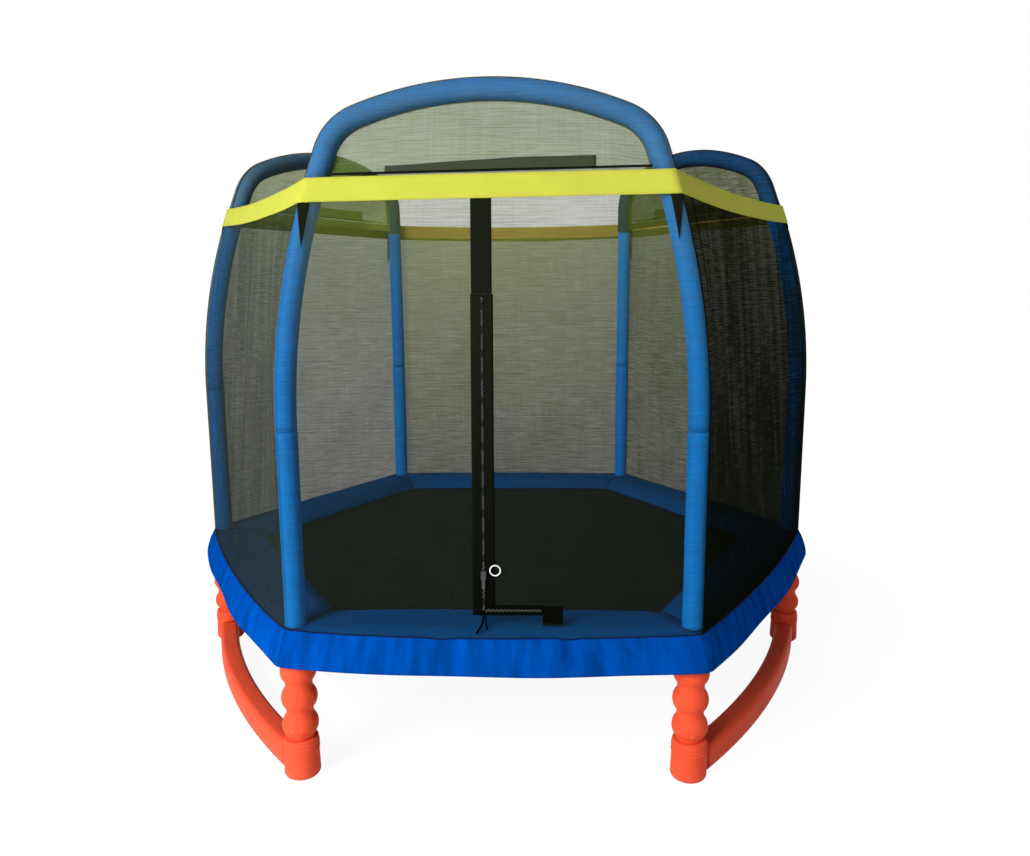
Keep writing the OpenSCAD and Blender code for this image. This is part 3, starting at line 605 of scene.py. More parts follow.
def cloth_material(
    name, base, pitch, roughness, gloss=0.05, bump=0.00025, contrast=0.12, shade=0.0, painted_crease_shade=0.0
):
    """Woven cloth on its own UV map. Shade is painted shade that darkens it towards the ground;
    painted_crease_shade paints the shade and highlights of slanting creases into its colour.
    """
    tree, shader = start_material(name)
    out = put_group(tree, "cloth weave", uv_place(tree), Pitch=pitch)
    # painted shade and highlight: the weave's raised threads lighter and its hollows darker
    tone = mixed(tree, out["Thread"], *shades(base, 1 - contrast, 1 + contrast))
    worn = spread(tree, out["Patch"], 0.35, 0.70, 0.0, 0.6)
    tone = mixed(tree, worn, tone, tuple(c * 1.15 for c in base))
    # painted shade: darker towards the ground, where less light falls
    if shade:
        up = spread(tree, axis(tree, object_place(tree), 2), 0.42, 1.2, 1 - shade, 1.0)
        tone = mixed(tree, 1.0, tone, up, "MULTIPLY")
    # painted shade and highlight of slanting creases: darker in the creases and lighter between them
    if painted_crease_shade:
        settings = {"Vector": uv_place(tree), "Rotation": (0.0, 0.0, 0.62), "Scale": (26.0, 5.0, 1.0)}
        slant = node(tree, "Mapping", settings)
        crease_shading = noise_at(tree, slant.outputs[0], 1.0)
        crease_shading = spread(tree, crease_shading, 0.36, 0.62, 1 - painted_crease_shade, 1.0 + painted_crease_shade / 3)
        tone = mixed(tree, 1.0, tone, crease_shading, "MULTIPLY")
    finish_shader(tree, shader, tone, out["Patch"], (roughness - 0.06, roughness + 0.06), gloss)
    raise_bump(tree, shader, out["Height"], bump)


def plastic_material(name, base, roughness, grain=900.0, scuff=0.5, ground_dust=0.0, gloss=0.5):
    """Moulded plastic with flow marks and scuffs, and dust near the ground where asked."""
    tree, shader = start_material(name)
    place = object_place(tree)
    out = put_group(tree, "moulded grain", place, Grain=grain, Scuff=scuff)
    tone = mixed(tree, out["Flow"], *shades(base, 0.90, 1.07))
    tone = mixed(tree, out["Scuffs"], tone, tuple(c * 0.65 + 0.20 for c in base))
    if ground_dust:
        near = spread(tree, axis(tree, place, 2), 0.0, 0.05, ground_dust, 0.0)
        tone = mixed(tree, maths(tree, "MULTIPLY", near, out["Flow"]), tone, (0.23, 0.19, 0.15))
    finish_shader(tree, shader, tone, out["Flow"], (roughness - 0.05, roughness + 0.07), gloss)
    raise_bump(tree, shader, out["Height"], 0.00012)
    return tree, shader, tone


def teeth_material():
    """Moulded zip teeth that show in runs, with the shade of the tape's edge painted between them as a dark
    colour.
    """
    base, between, run = (0.055, 0.060, 0.056), (0.008, 0.010, 0.007), 0.056
    tree, shader, tone = plastic_material("zip teeth", base, 0.4, scuff=0.05, gloss=0.15)
    place = object_place(tree)
    uneven = maths(tree, "MULTIPLY", noise_at(tree, place, 9.0), 1.2)
    up = maths(tree, "SUBTRACT", axis(tree, place, 2), PAD_TOP + ZIP_LOW)
    turns = maths(tree, "MULTIPLY_ADD", up, 2 * math.pi / run, uneven)
    # painted shade of the tape's edge between the runs of teeth
    shown = spread(tree, maths(tree, "COSINE", turns), -0.65, -0.30)
    tree.links.new(mixed(tree, shown, between, tone), shader.inputs["Base Color"])


def metal_material(name, base, roughness, spangle=160.0):
    """Zinc-coated or plain metal."""
    tree, shader = start_material(name)
    out = put_group(tree, "zinc coat", object_place(tree), Spangle=spangle)
    tone = mixed(tree, out["Spangle"], *shades(base, 0.82, 1.12))
    dull = spread(tree, out["Dull"], 0.5, 0.75, 0.0, 0.5)
    tone = mixed(tree, dull, tone, tuple(c * 0.6 for c in base))
    shader.inputs["Metallic"].default_value = 1.0
    finish_shader(tree, shader, tone, out["Dull"], (roughness - 0.06, roughness + 0.12))
    raise_bump(tree, shader, out["Height"], 0.00005)


def foam_material(name, base):
    """Closed-cell foam in a thin cover: a faint skin pattern and soft dents."""
    tree, shader = start_material(name)
    out = put_group(tree, "moulded grain", object_place(tree), Grain=420.0, Scuff=0.25)
    tone = mixed(tree, out["Flow"], *shades(base, 0.86, 1.08))
    tone = mixed(tree, out["Scuffs"], tone, tuple(c * 0.8 + 0.05 for c in base))
    finish_shader(tree, shader, tone, out["Flow"], (0.42, 0.58), 0.1)
    raise_bump(tree, shader, out["Height"], 0.00035)


def net_material(name, covers, outside, inside, folds=0.0, lean=0.0):
    """Knitted net whose gaps show what is behind it. Its cover runs from low to high; its colours run from
    low to high as painted light, lighter towards the top, and differ on its outside and inside faces as a
    painted lit and shaded side; lean paints it lighter towards one end."""
    tree, shader = start_material(name)
    place = uv_place(tree)
    high = spread(tree, axis(tree, place, 1), 0.0, 1.05)
    cover = spread(tree, high, 0.0, 1.0, *covers)
    out = put_group(tree, "knitted net", place, Cover=cover, Pitch=sizes().net_cell, Folds=folds)
    # painted light: the outside lighter towards the top
    front = mixed(tree, maths(tree, "POWER", high, 4.0), *outside)
    back = mixed(tree, high, *inside)
    # painted lit and shaded sides: the inside and outside faces of the same net take different colours
    tone = mixed(tree, node(tree, "NewGeometry").outputs["Backfacing"], front, back)
    tone = mixed(tree, 1.0, tone, mixed(tree, out["Streak"], (0.75,) * 3, (1.30,) * 3), "MULTIPLY")
    # painted light: lighter towards one end of the wall
    if lean:
        end = spread(tree, axis(tree, place, 0), 0.0, 1.0)
        tone = mixed(tree, 1.0, tone, mixed(tree, end, (1 - lean,) * 3, (1 + lean,) * 3), "MULTIPLY")
    tree.links.new(tone, shader.inputs["Base Color"])
    shader.inputs["Roughness"].default_value = 0.85
    shader.inputs["Specular IOR Level"].default_value = 0.0
    shadow = node(tree, "LightPath").outputs["Is Shadow Ray"]
    through = maths(tree, "MULTIPLY_ADD", shadow, -0.65, 1.0)  # the gaps of the real net let more light by
    tree.links.new(maths(tree, "MULTIPLY", out["Cover"], through), shader.inputs["Alpha"])
    raise_bump(tree, shader, out["Rib"], 0.0004)


# Painted light and shade: each wall, hoop and sleeve has its own lit or shaded copy of the same net's
# colours, lighter on the left where the key light reaches and darker on the right and on the outside
SHADED_OUTSIDE = ((0.010, 0.014, 0.009), (0.02, 0.03, 0.01))
LIT_INSIDE = ((0.05, 0.08, 0.02), (0.08, 0.12, 0.02))
SHADED_SLEEVE_INSIDE = ((0.02, 0.03, 0.01),) * 2
NETS = (  # name, cover low and high, outside low and high, inside low and high, folds, lean
    ("net front", (0.50, 0.54), ((0.009, 0.012, 0.008), (0.050, 0.070, 0.012)), LIT_INSIDE),
    ("net rear", (0.82, 0.72), SHADED_OUTSIDE, ((0.058, 0.074, 0.010), (0.225, 0.255, 0.025)), 0.0, 0.16),
    ("net rear left", (0.75, 0.66), SHADED_OUTSIDE, ((0.115, 0.142, 0.014), (0.31, 0.38, 0.030))),
    ("net rear right", (0.86, 0.83), SHADED_OUTSIDE, ((0.05, 0.06, 0.008), (0.09, 0.11, 0.012)), 0.1),
    ("net side left", (0.81, 0.74), ((0.014, 0.018, 0.012), (0.024, 0.034, 0.014)), LIT_INSIDE, 0.45),
    ("net side right", (1.02, 0.89), ((0.005, 0.007, 0.004), (0.008, 0.010, 0.005)), LIT_INSIDE, 0.35),
    ("net arch", (0.75,) * 2, ((0.087, 0.125, 0.028),) * 2, ((0.08, 0.115, 0.025),) * 2),
    ("net hoop left", (0.84,) * 2, ((0.06, 0.09, 0.010),) * 2, ((0.52, 0.66, 0.12),) * 2, 0.1),
    ("net hoop right", (0.91,) * 2, ((0.05, 0.07, 0.010),) * 2, ((0.055, 0.075, 0.004),) * 2, 0.1),
    ("sleeve front", (0.56,) * 2, ((0.060, 0.070, 0.006),) * 2, SHADED_SLEEVE_INSIDE),
    ("sleeve left", (0.70,) * 2, ((0.065, 0.080, 0.010),) * 2, SHADED_SLEEVE_INSIDE),
    ("sleeve right", (0.80,) * 2, ((0.012, 0.014, 0.006),) * 2, SHADED_SLEEVE_INSIDE),
)


# ---- operators ------------------------------------------------------------------------------


class TRAMPOLINE_OT_finishes(bpy.types.Operator):
    """Make the procedural materials of every finish"""

    bl_idname = "trampoline.finishes"
    bl_label = "Finishes"

    def execute(self, context):
        for build in (weave_group, grain_group, mesh_group, metal_group):
            build()
        c = colours()
        foam_material("foam", c.foam)
        cloth_material("pad vinyl", c.pad, 0.0011, 0.42, gloss=0.0, bump=0.00012, contrast=0.06)
        # the skirt's creases are painted into its colour as shade and highlight
        cloth_material(
            "skirt cloth", c.skirt, 0.0014, 0.45, gloss=0.0, bump=0.00018, contrast=0.08, painted_crease_shade=0.32
        )
        cloth_material("band cloth", c.band, 0.0012, 0.62, gloss=0.03, contrast=0.05)
        cloth_material("band lining", (0.60, 0.43, 0.09), 0.0012, 0.62, contrast=0.08)
        cloth_material("mat weave", c.mat, 0.0030, 0.60, gloss=0.02, bump=0.0004, contrast=0.35)
        # the webbing gets painted shade towards the ground
        cloth_material("webbing", c.webbing, 0.0022, 0.80, gloss=0.0, bump=0.0004, contrast=0.40, shade=0.75)
        cloth_material("strip cloth", (0.041, 0.048, 0.028), 0.0022, 0.80, bump=0.0004, contrast=0.25)
        cloth_material("thread", (0.004, 0.008, 0.035), 0.0016, 0.75, contrast=0.3)
        plastic_material("moulding", c.moulding, 0.48, ground_dust=0.20, gloss=0.03)
        teeth_material()
        plastic_material("ring plastic", (0.80, 0.80, 0.78), 0.30, scuff=0.2)
        metal_material("zinc steel", (0.60, 0.61, 0.62), 0.38)
        metal_material("bolt steel", (0.45, 0.46, 0.48), 0.30, spangle=500.0)
        metal_material("spring wire", (0.52, 0.53, 0.55), 0.28, spangle=700.0)
        metal_material("slider metal", (0.075, 0.078, 0.080), 0.42, spangle=900.0)
        for settings in NETS:
            net_material(*settings)
        return {"FINISHED"}


class TRAMPOLINE_OT_steel(bpy.types.Operator):
    """Give the steel frame, screws and metal fittings their finish"""

    bl_idname = "trampoline.steel"
    bl_label = "Steel frame"

    def execute(self, context):
        by_start = {
            "top_rail": "zinc steel", "corner_bracket": "zinc steel", "leg_frame": "zinc steel",
            "lower_pole": "zinc steel", "arch_tube": "zinc steel", "frame_screws": "bolt steel",
            "zip_slider": "slider metal", "zip_pull": "slider metal", "door_ring": "ring plastic",
        }
        for name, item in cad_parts.items():
            for start, finish in by_start.items():
                if name.startswith(start):
                    item.data.materials.clear()
                    item.data.materials.append(material(finish))
        return {"FINISHED"}


def bead_profile():
    """Half outline of a leg's bead stack, from its foot to its top, with soft waists."""
    s = sizes()
    bead_r, neck_r = s.bead_diameter / 2, s.neck_diameter / 2
    round_r, pitch, low = 0.040, 0.073, 0.1073
    top = low + 3 * pitch
    points = [(LEG_BORE, low), (neck_r - 0.0008, low)]
    soft = 0.0035
    reach = math.acos((neck_r - (bead_r - round_r)) / round_r)
    for n in range(3):
        mid = low + (n + 0.5) * pitch
        foot = mid - round_r * math.sin(reach)
        head = mid + round_r * math.sin(reach)
        points.append((neck_r, foot - soft))
        points.append((neck_r + 0.0004, foot - soft * 0.45))
        for j in range(17):
            a = -reach + 0.07 + (2 * reach - 0.14) * j / 16
            points.append((bead_r - round_r + round_r * math.cos(a), mid + round_r * math.sin(a)))
        points.append((neck_r + 0.0004, head + soft * 0.45))
        points.append((neck_r, head + soft))
    points = [p for p in points if low - 1e-6 <= p[1] <= top + 1e-6]
    return points + [(neck_r - 0.0008, top), (LEG_BORE, top), (LEG_BORE, low)]


class TRAMPOLINE_OT_leg_covers(bpy.types.Operator):
    """Add the six moulded bead stacks that sheathe the legs"""

    bl_idname = "trampoline.leg_covers"
    bl_label = "Leg covers"

    def execute(self, context):
        profile = bead_profile()
        for i in CORNERS:
            place = corner_turn(i) @ Matrix.Translation((CORNER_R, 0, 0))
            bm = spun(profile, 64, place)
            middle = place.translation
            for vert in bm.verts:  # parting line of the mould, on two sides
                flat = Vector((vert.co.x - middle.x, vert.co.y - middle.y, 0))
                if flat.length < 0.03:
                    continue
                angle = math.atan2(flat.y, flat.x) - math.radians(60 * (i - 1))
                if abs(math.sin(angle)) > 0.9999:
                    vert.co += flat.normalized() * 0.0006
            piece = make_piece(f"bead_stack_{i}", bm, "moulding")
            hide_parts(f"leg_cover_{i}")
        return {"FINISHED"}


RAIL_ARC_R = ((CORNER_R / 2) ** 2 + RAIL_BOW**2) / (2 * RAIL_BOW)  # radius of a ground rail's bow
RAIL_ARC_X = AXIS_A + RAIL_BOW - RAIL_ARC_R
RAIL_ARC = math.asin(CORNER_R / 2 / RAIL_ARC_R)


def rounded_outline(half_w, height, soft, steps=6):
    """Closed outline of a soft-cornered section standing on the ground."""
    points = []
    for cx, cz, start in (
        (half_w - soft, soft, -90), (half_w - soft, height - soft, 0),
        (-half_w + soft, height - soft, 90), (-half_w + soft, soft, 180),
    ):
        for j in range(steps + 1):
            a = math.radians(start + 90 * j / steps)
            points.append((cx + soft * math.cos(a), cz + soft * math.sin(a)))
    return points


def cup_profile():
    """Half outline of a foot cup with its three raised rings and rolled rim."""
    points = [(0.0, 0.0), (0.033, 0.0)]
    for j in range(1, 9):
        a = math.radians(-90 + 90 * j / 8)
        points.append((0.033 + 0.014 * math.cos(a), 0.014 + 0.014 * math.sin(a)))
    for n in (2, 1, 0):
        z = 0.094 - 0.009 * n
        base = 0.047 - 0.003 * (z - 0.014) / 0.093
        points.append((base, z - 0.0034))
        for j in range(5):
            a = math.radians(-75 + 150 * j / 4)
            points.append((base - 0.0003 + 0.0020 * math.cos(a), z + 0.0026 * math.sin(a)))
        points.append((base, z + 0.0034))
    return points + [(0.0440, 0.1040), (0.0434, 0.1062), (0.0420, 0.1070), (LEG_BORE, 0.1070), (0.0, 0.1070)]


class TRAMPOLINE_OT_foot_bases(bpy.types.Operator):
    """Add the three hollow mouldings of two foot cups and a bowed ground rail"""

    bl_idname = "trampoline.foot_bases"
    bl_label = "Foot bases"

    def execute(self, context):
        outline = rounded_outline(0.030, 0.074, 0.014)
        cut = 0.022  # the rail's ends lie inside the cups
        first = -RAIL_ARC + cut
        for n in (1, 2, 3):
            bm = bmesh.new()
            ring = []
            for x, z in outline:
                r = RAIL_ARC_R + x
                ring.append(bm.verts.new((RAIL_ARC_X + r * math.cos(first), r * math.sin(first), z)))
            edges = [bm.edges.new((ring[j], ring[(j + 1) % len(ring)])) for j in range(len(ring))]
            start = bm.faces.new(ring)
            bmesh.ops.spin(
                bm, geom=[start, *edges], cent=(RAIL_ARC_X, 0, 0), axis=(0, 0, 1),
                angle=2 * (RAIL_ARC - cut), steps=72,
            )
            bmesh.ops.recalc_face_normals(bm, faces=bm.faces)
            for vert in bm.verts:  # the blown wall is a little hollow between its edges
                if 0.02 < vert.co.z < 0.055:
                    r = math.hypot(vert.co.x - RAIL_ARC_X, vert.co.y) - RAIL_ARC_R
                    vert.co.x -= math.copysign(0.0008, r)
            feet = [Matrix.Translation((AXIS_A, s * CORNER_R / 2, 0)) for s in (-1, 1)]
            whole = joined([bm, *(spun(cup_profile(), 64, foot) for foot in feet)])
            bmesh.ops.transform(whole, matrix=side_turn(2 * n), verts=whole.verts)
            piece = make_piece(f"ground_rail_{n}", whole, "moulding")
            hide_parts(f"foot_base_{n}")
        return {"FINISHED"}


def only(geom, kinds):
    """What is of some kinds in a result."""
    return [item for item in geom if isinstance(item, kinds)]


def arch_path(radius, steps, only_top=False):
    """A round sleeve along one arch from joint to joint, or only its top, in its side's own frame."""
    bm = bmesh.new()
    up = Vector((0, 0, 1))
    plane = arch_plane()
    across, rise = Vector((0, 1, 0)), (plane.to_3x3() @ Vector((0, 0, 1)))
    facing = plane.to_3x3() @ Vector((1, 0, 0))
    lean = -across * math.sin(LEAN) + rise * math.cos(LEAN)
    right = Vector((SIDE, 0.5, 0))
    left = Vector((SIDE, -0.5, 0))
    below = SOCK_BELOW if only_top else 0.0
    ring = bmesh.ops.create_circle(bm, cap_ends=False, radius=radius, segments=28)["verts"]
    if only_top:
        start = plane @ Vector((0, SPRING_H, 0)) - lean * below
        turned = up.rotation_difference(lean).to_matrix().to_4x4()
        bmesh.ops.transform(bm, matrix=Matrix.Translation(start) @ turned, verts=ring)
    else:
        bmesh.ops.transform(bm, matrix=Matrix.Translation(right * CORNER_R + up * JOINT_Z), verts=ring)
    last = list(bm.edges) + list(bm.verts)

    def bend(geom, centre, about, angle, count):
        """Takes the sleeve's end on round a bend."""
        return bmesh.ops.spin(bm, geom=geom, cent=centre, axis=about, angle=angle, steps=count)["geom_last"]

    def push(geom, way, distance, count):
        """Takes the sleeve's end straight on."""
        for _ in range(count):
            made = bmesh.ops.extrude_edge_only(bm, edges=only(geom, bmesh.types.BMEdge))["geom"]
            bmesh.ops.translate(bm, vec=way * (distance / count), verts=only(made, bmesh.types.BMVert))
            geom = only(made, (bmesh.types.BMVert, bmesh.types.BMEdge))
        return geom

    away = [Vector((math.cos(BOW_PLAN), s * math.sin(BOW_PLAN), 0)) for s in (1, -1)]
    if not only_top:
        last = bend(last, right * CORNER_R - away[0] * BOW_R + up * JOINT_Z, away[0].cross(up), BOW, steps)
    last = push(last, lean, STRAIGHT + below, 6)
    last = bend(last, plane @ Vector((0, SHOULDER_U, SHOULDER_V)), facing, CROWN - LEAN, 14)
    last = bend(last, plane @ Vector((0, 0, CROWN_V)), facing, math.pi - 2 * CROWN, 36)
    last = bend(last, plane @ Vector((0, -SHOULDER_U, SHOULDER_V)), facing, CROWN - LEAN, 14)
    last = push(last, -across * math.sin(LEAN) - rise * math.cos(LEAN), STRAIGHT + below, 6)
    if not only_top:
        bend(last, left * CORNER_R - away[1] * BOW_R + up * JOINT_Z, up.cross(away[1]), BOW, steps)
    bmesh.ops.remove_doubles(bm, verts=bm.verts, dist=1e-5)
    bmesh.ops.recalc_face_normals(bm, faces=bm.faces)
    return bm


def cap_rims(bm, rims):
    """Closes the open ends of a sleeve with a turned-in edge."""
    made = bmesh.ops.holes_fill(bm, edges=rims, sides=0)["faces"]
    bmesh.ops.recalc_face_normals(bm, faces=bm.faces)
    bmesh.ops.inset_individual(bm, faces=made, thickness=0.004, depth=0.0)


def dent(bm, depth, scale, seed):
    """Soft unevenness inwards, so that nothing stands further out than before."""
    for vert in bm.verts:
        push = depth * (0.5 + 0.5 * ruffle(*vert.co, scale=scale, seed=seed))
        vert.co -= vert.normal * push


class TRAMPOLINE_OT_foam(bpy.types.Operator):
    """Add the foam sleeves on the lower poles and the arches"""

    bl_idname = "trampoline.foam"
    bl_label = "Foam sleeves"

    def execute(self, context):
        s = sizes()
        half, bore = s.foam_diameter / 2, 0.0143
        low, high = PAD_TOP + SEAT, JOINT_Z - SEAT
        profile = [(bore, low), (half - 0.002, low), (half, low + 0.002)]
        profile += [(half, low + 0.002 + (high - low - 0.004) * j / 44) for j in range(1, 44)]
        profile += [(half, high - 0.002), (half - 0.002, high), (bore, high), (bore, low)]
        for i in CORNERS:
            bm = spun(profile, 36, corner_turn(i) @ Matrix.Translation((CORNER_R, 0, 0)))
            dent(bm, 0.0007, 16.0, 3.1 * i)
            piece = make_piece(f"pole_sleeve_{i}", bm, "foam")
            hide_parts(f"lower_foam_{i}")
        for n in (1, 2, 3):
            bm = arch_path(s.arch_foam_diameter / 2, 26)
            rims = [e for e in bm.edges if e.is_boundary]
            bmesh.ops.transform(bm, matrix=side_turn(2 * n - 1), verts=bm.verts)
            cap_rims(bm, rims)
            dent(bm, 0.0006, 14.0, 7.7 * n)
            piece = make_piece(f"arch_sleeve_{n}", bm, "foam")
            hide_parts(f"arch_foam_{n}")
        return {"FINISHED"}


class TRAMPOLINE_OT_mat(bpy.types.Operator):
    """Add the woven jumping mat with its sewn border, in six sectors"""

    bl_idname = "trampoline.mat"
    bl_label = "Jumping mat"

    def execute(self, context):
        border, side = 0.032, 2 * MAT_A * TAN
        for k in CORNERS:
            def place(u, v):
                a = MAT_A * v
                spot = side_turn(k) @ Vector((a, (u - 0.5) * 2 * a * TAN, RAIL_Z + 0.0010))
                edge = MAT_A - a
                if edge < border:
                    spot.z += 0.0012 * min(1.0, edge / 0.002) * min(1.0, (border - edge) / 0.002)
                else:
                    spot.z += 0.0006 * ruffle(spot.x, spot.y, scale=6.0)
                return spot

            bm = sheet_mesh(44, 40, place, (0.82, MAT_A))
            lay_uv(bm, lambda co: co.xy)
            bmesh.ops.remove_doubles(bm, verts=bm.verts, dist=1e-5)
            for edge in bm.edges:
                edge.smooth = not edge.is_boundary
            piece = make_piece(f"mat_sector_{k}", bm, "mat weave", body=None)
            thicken(piece, 0.002, -1.0)
            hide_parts("jump_mat")
            bounce(piece)
        return {"FINISHED"}


def bounce(piece):
    """Bakes the piece's placing into its mesh."""
    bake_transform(piece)


class TRAMPOLINE_OT_springs(bpy.types.Operator):
    """Add the coil springs and the V rings that hold the mat"""

    bl_idname = "trampoline.springs"
    bl_label = "Springs and rings"

    def execute(self, context):
        wire, coil_d, ring_r, pitch = 0.0034, 0.015, 0.002, 0.128
        foot = MAT_A + SEAT
        tip = MAT_A + SEAT + V_LEN
        x0, x1 = tip + 0.012, AXIS_A - RAIL_R - 0.010  # the coil's two ends
        hook_z = RAIL_Z + ring_r + SEAT + wire / 2
        r = (coil_d - wire) / 2
        turns = int((x1 - x0 - wire) / (wire * 1.08))
        for k in CORNERS:
            coils, rings = [], []
            for n in range(6):
                y = (n - 2.5) * pitch
                run = [
                    (tip - 0.0085, y, hook_z - 0.0055), (tip - 0.0085, y, hook_z - 0.001),
                    (tip - 0.0065, y, hook_z), (x0 - 0.003, y, hook_z),
                ]
                for j in range(turns * 10 + 1):
                    a = 2 * math.pi * j / 10
                    along = x0 + wire / 2 + (x1 - x0 - wire) * j / (turns * 10)
                    run.append((along, y + r * math.sin(a), RAIL_Z + r * math.cos(a)))
                run += [(x1 + 0.003, y, RAIL_Z), (AXIS_A - RAIL_R + 0.006, y, RAIL_Z)]
                coils.append(run)
                rings.append([
                    (foot + 0.002, y - 0.0205, RAIL_Z), (foot + V_LEN - 0.0035, y - 0.0012, RAIL_Z),
                    (foot + V_LEN - 0.0035, y + 0.0012, RAIL_Z), (foot + 0.002, y + 0.0205, RAIL_Z),
                ])
            for name, runs, radius, closed, roundness, node_name in (
                (f"coil_springs_{k}", coils, wire / 2, False, 1, "springs"),
                (f"v_rings_{k}", rings, ring_r, True, 2, "mat_rings"),
            ):
                bm = tubes(runs, radius, closed, roundness)
                bmesh.ops.transform(bm, matrix=side_turn(k), verts=bm.verts)
                piece = make_piece(name, bm, "spring wire", body=None)
                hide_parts(node_name)
                bounce(piece)
        return {"FINISHED"}


def swell(piece, cap, held):
    """Blows a closed cover up like a filled pad, holding some of it and capping how far it goes."""
    scene = bpy.context.scene
    rest = [v.co.copy() for v in piece.data.vertices]
    pins = piece.vertex_groups.new(name="held")
    for index, share in held.items():
        pins.add([index], share, "REPLACE")
    cloth = piece.modifiers.new("Cloth", "CLOTH")
    settings = cloth.settings
    settings.quality = 4
    settings.mass = 0.3
    settings.use_pressure = True
    settings.uniform_pressure_force = 4.0
    settings.effector_weights.gravity = 0.0
    settings.vertex_group_mass = "held"
    for number in range(1, 21):
        scene.frame_set(number)
    graph = bpy.context.evaluated_depsgraph_get()
    blown = piece.evaluated_get(graph).to_mesh()
    moved = [v.co.copy() for v in blown.vertices]
    piece.modifiers.remove(cloth)
    for vert, start, end in zip(piece.data.vertices, rest, moved):
        way = end - start
        if way.length > cap:
            way = way.normalized() * cap
        vert.co = start + way
    piece.vertex_groups.remove(pins)
    scene.frame_set(1)


def pad_outline(u):
    """Section of the pad a share of the way along a side, thinner toward its corner seams."""
    full = max(0.0, math.sin(math.pi * u)) ** 0.5
    top = PAD_TOP + 0.004 * full
    inner = PAD_INNER + 0.004 - 0.003 * full + 0.003
    outer = PAD_OUTER - 0.003
    low = PAD_Z + 0.0006
    lift = 0.001 + 0.001 * full
    return [
        (inner + 0.005, low + 0.002), (inner + 0.034, low), (outer - 0.034, low),
        (outer - 0.003, low + 0.001), (outer, (low + top) / 2), (outer - 0.001, PAD_TOP - 0.003),
        (outer - 0.010, PAD_TOP - lift), (outer - 0.034, top - 0.001), ((inner + outer) / 2, top),
        (inner + 0.034, top - 0.001), (inner + 0.010, PAD_TOP - lift - 0.001), (inner, (low + top) / 2),
    ]


def refit(mesh):
    """Stretches a filled length across again, so that it reaches from the bed to its outer seam all along."""
    bins = 24
    low, high = [PAD_OUTER] * (bins + 1), [PAD_INNER] * (bins + 1)

    def along(vert):
        """Where a place is along the side, in bins."""
        return (vert.co.y / (vert.co.x * TAN) + 1) / 2 * bins

    for vert in mesh.vertices:
        j = max(0, min(bins, round(along(vert))))
        low[j], high[j] = min(low[j], vert.co.x), max(high[j], vert.co.x)
    for vert in mesh.vertices:
        spot = max(0.0, min(bins - 1e-6, along(vert)))
        j, part = int(spot), spot - int(spot)
        near = low[j] * (1 - part) + low[j + 1] * part
        far = high[j] * (1 - part) + high[j + 1] * part
        share = (vert.co.x - near) / (far - near)
        vert.co.x = PAD_INNER + 0.0035 + (PAD_OUTER - 0.0060 - PAD_INNER) * share


def pad_length():
    """One length of the pad along the X side, cut at its corner seams and filled."""
    count = len(pad_outline(0.5))

    def place(u, v):
        ring = pad_outline(u)
        spot = (v * count) % count
        j = int(spot)
        a = Vector(ring[j % count]).lerp(Vector(ring[(j + 1) % count]), spot - j)
        return Vector((a.x, (u - 0.5) * 2 * a.x * TAN, a.y))

    bm = sheet_mesh(96, count * 2, place, (1.0, 1.0), loop=True)
    ends = [e for e in bm.edges if e.is_boundary]
    bmesh.ops.holes_fill(bm, edges=ends, sides=0)
    bmesh.ops.triangulate(bm, faces=[f for f in bm.faces if len(f.verts) > 4])
    bmesh.ops.recalc_face_normals(bm, faces=bm.faces)
    blank = make_piece("pad_blank", bm, "pad vinyl", body=None)
    remesh = blank.modifiers.new("Remesh", "REMESH")
    remesh.mode = "VOXEL"
    remesh.voxel_size = 0.0095
    graph = bpy.context.evaluated_depsgraph_get()
    mesh = bpy.data.meshes.new_from_object(blank.evaluated_get(graph))
    blank.modifiers.clear()
    blank.data = mesh
    held = {}  # the corner seams and the underside stay
    for v in mesh.vertices:
        gap = v.co.x * TAN - abs(v.co.y)
        under = clamp((PAD_Z + 0.003 - v.co.z) / 0.002)
        share = max(clamp(1 - (gap - 0.006) / 0.02), under)
        if share > 0:
            held[v.index] = share
    swell(blank, sizes().pad_cap, held)
    refit(blank.data)
    return blank


def settled(mesh, k):
    """A filled length in its place: its rim hung and pushed out, its lip down on the bed, its top creased."""
    lip_drop, lip_wide = 0.0210, 0.055
    part = bmesh.new()
    part.from_mesh(mesh)
    for vert in part.verts:
        share = clamp((vert.co.x - PAD_INNER) / (PAD_OUTER - PAD_INNER))
        t = max(-1.0, min(1.0, vert.co.y / (vert.co.x * TAN)))
        vert.co.z -= 1.3 * sag(k, t) * ease((share - 0.85) / 0.15)  # the rim, more than its seam
        vert.co.x += belly(t) * share**2
    bmesh.ops.transform(part, matrix=side_turn(k), verts=part.verts)
    part.normal_update()
    back = side_turn(k).inverted()
    for vert in part.verts:
        inner = (back @ vert.co).x - PAD_INNER
        vert.co.z -= lip_drop * ease(1 - inner / lip_wide)
        bed = RAIL_Z + 0.0028 + 0.0040 * clamp((inner - 0.018) / 0.008)  # higher over the springs' hooks
        vert.co.z = max(vert.co.z, bed)
        if vert.co.z > PAD_Z + 0.006:
            pull = 0.0022 * ruffle(vert.co.x, vert.co.y, scale=9.0, seed=k)
            pull += 0.0010 * ruffle(vert.co.x, vert.co.y, scale=38.0, seed=k + 9)
            vert.co.z += pull
    return part


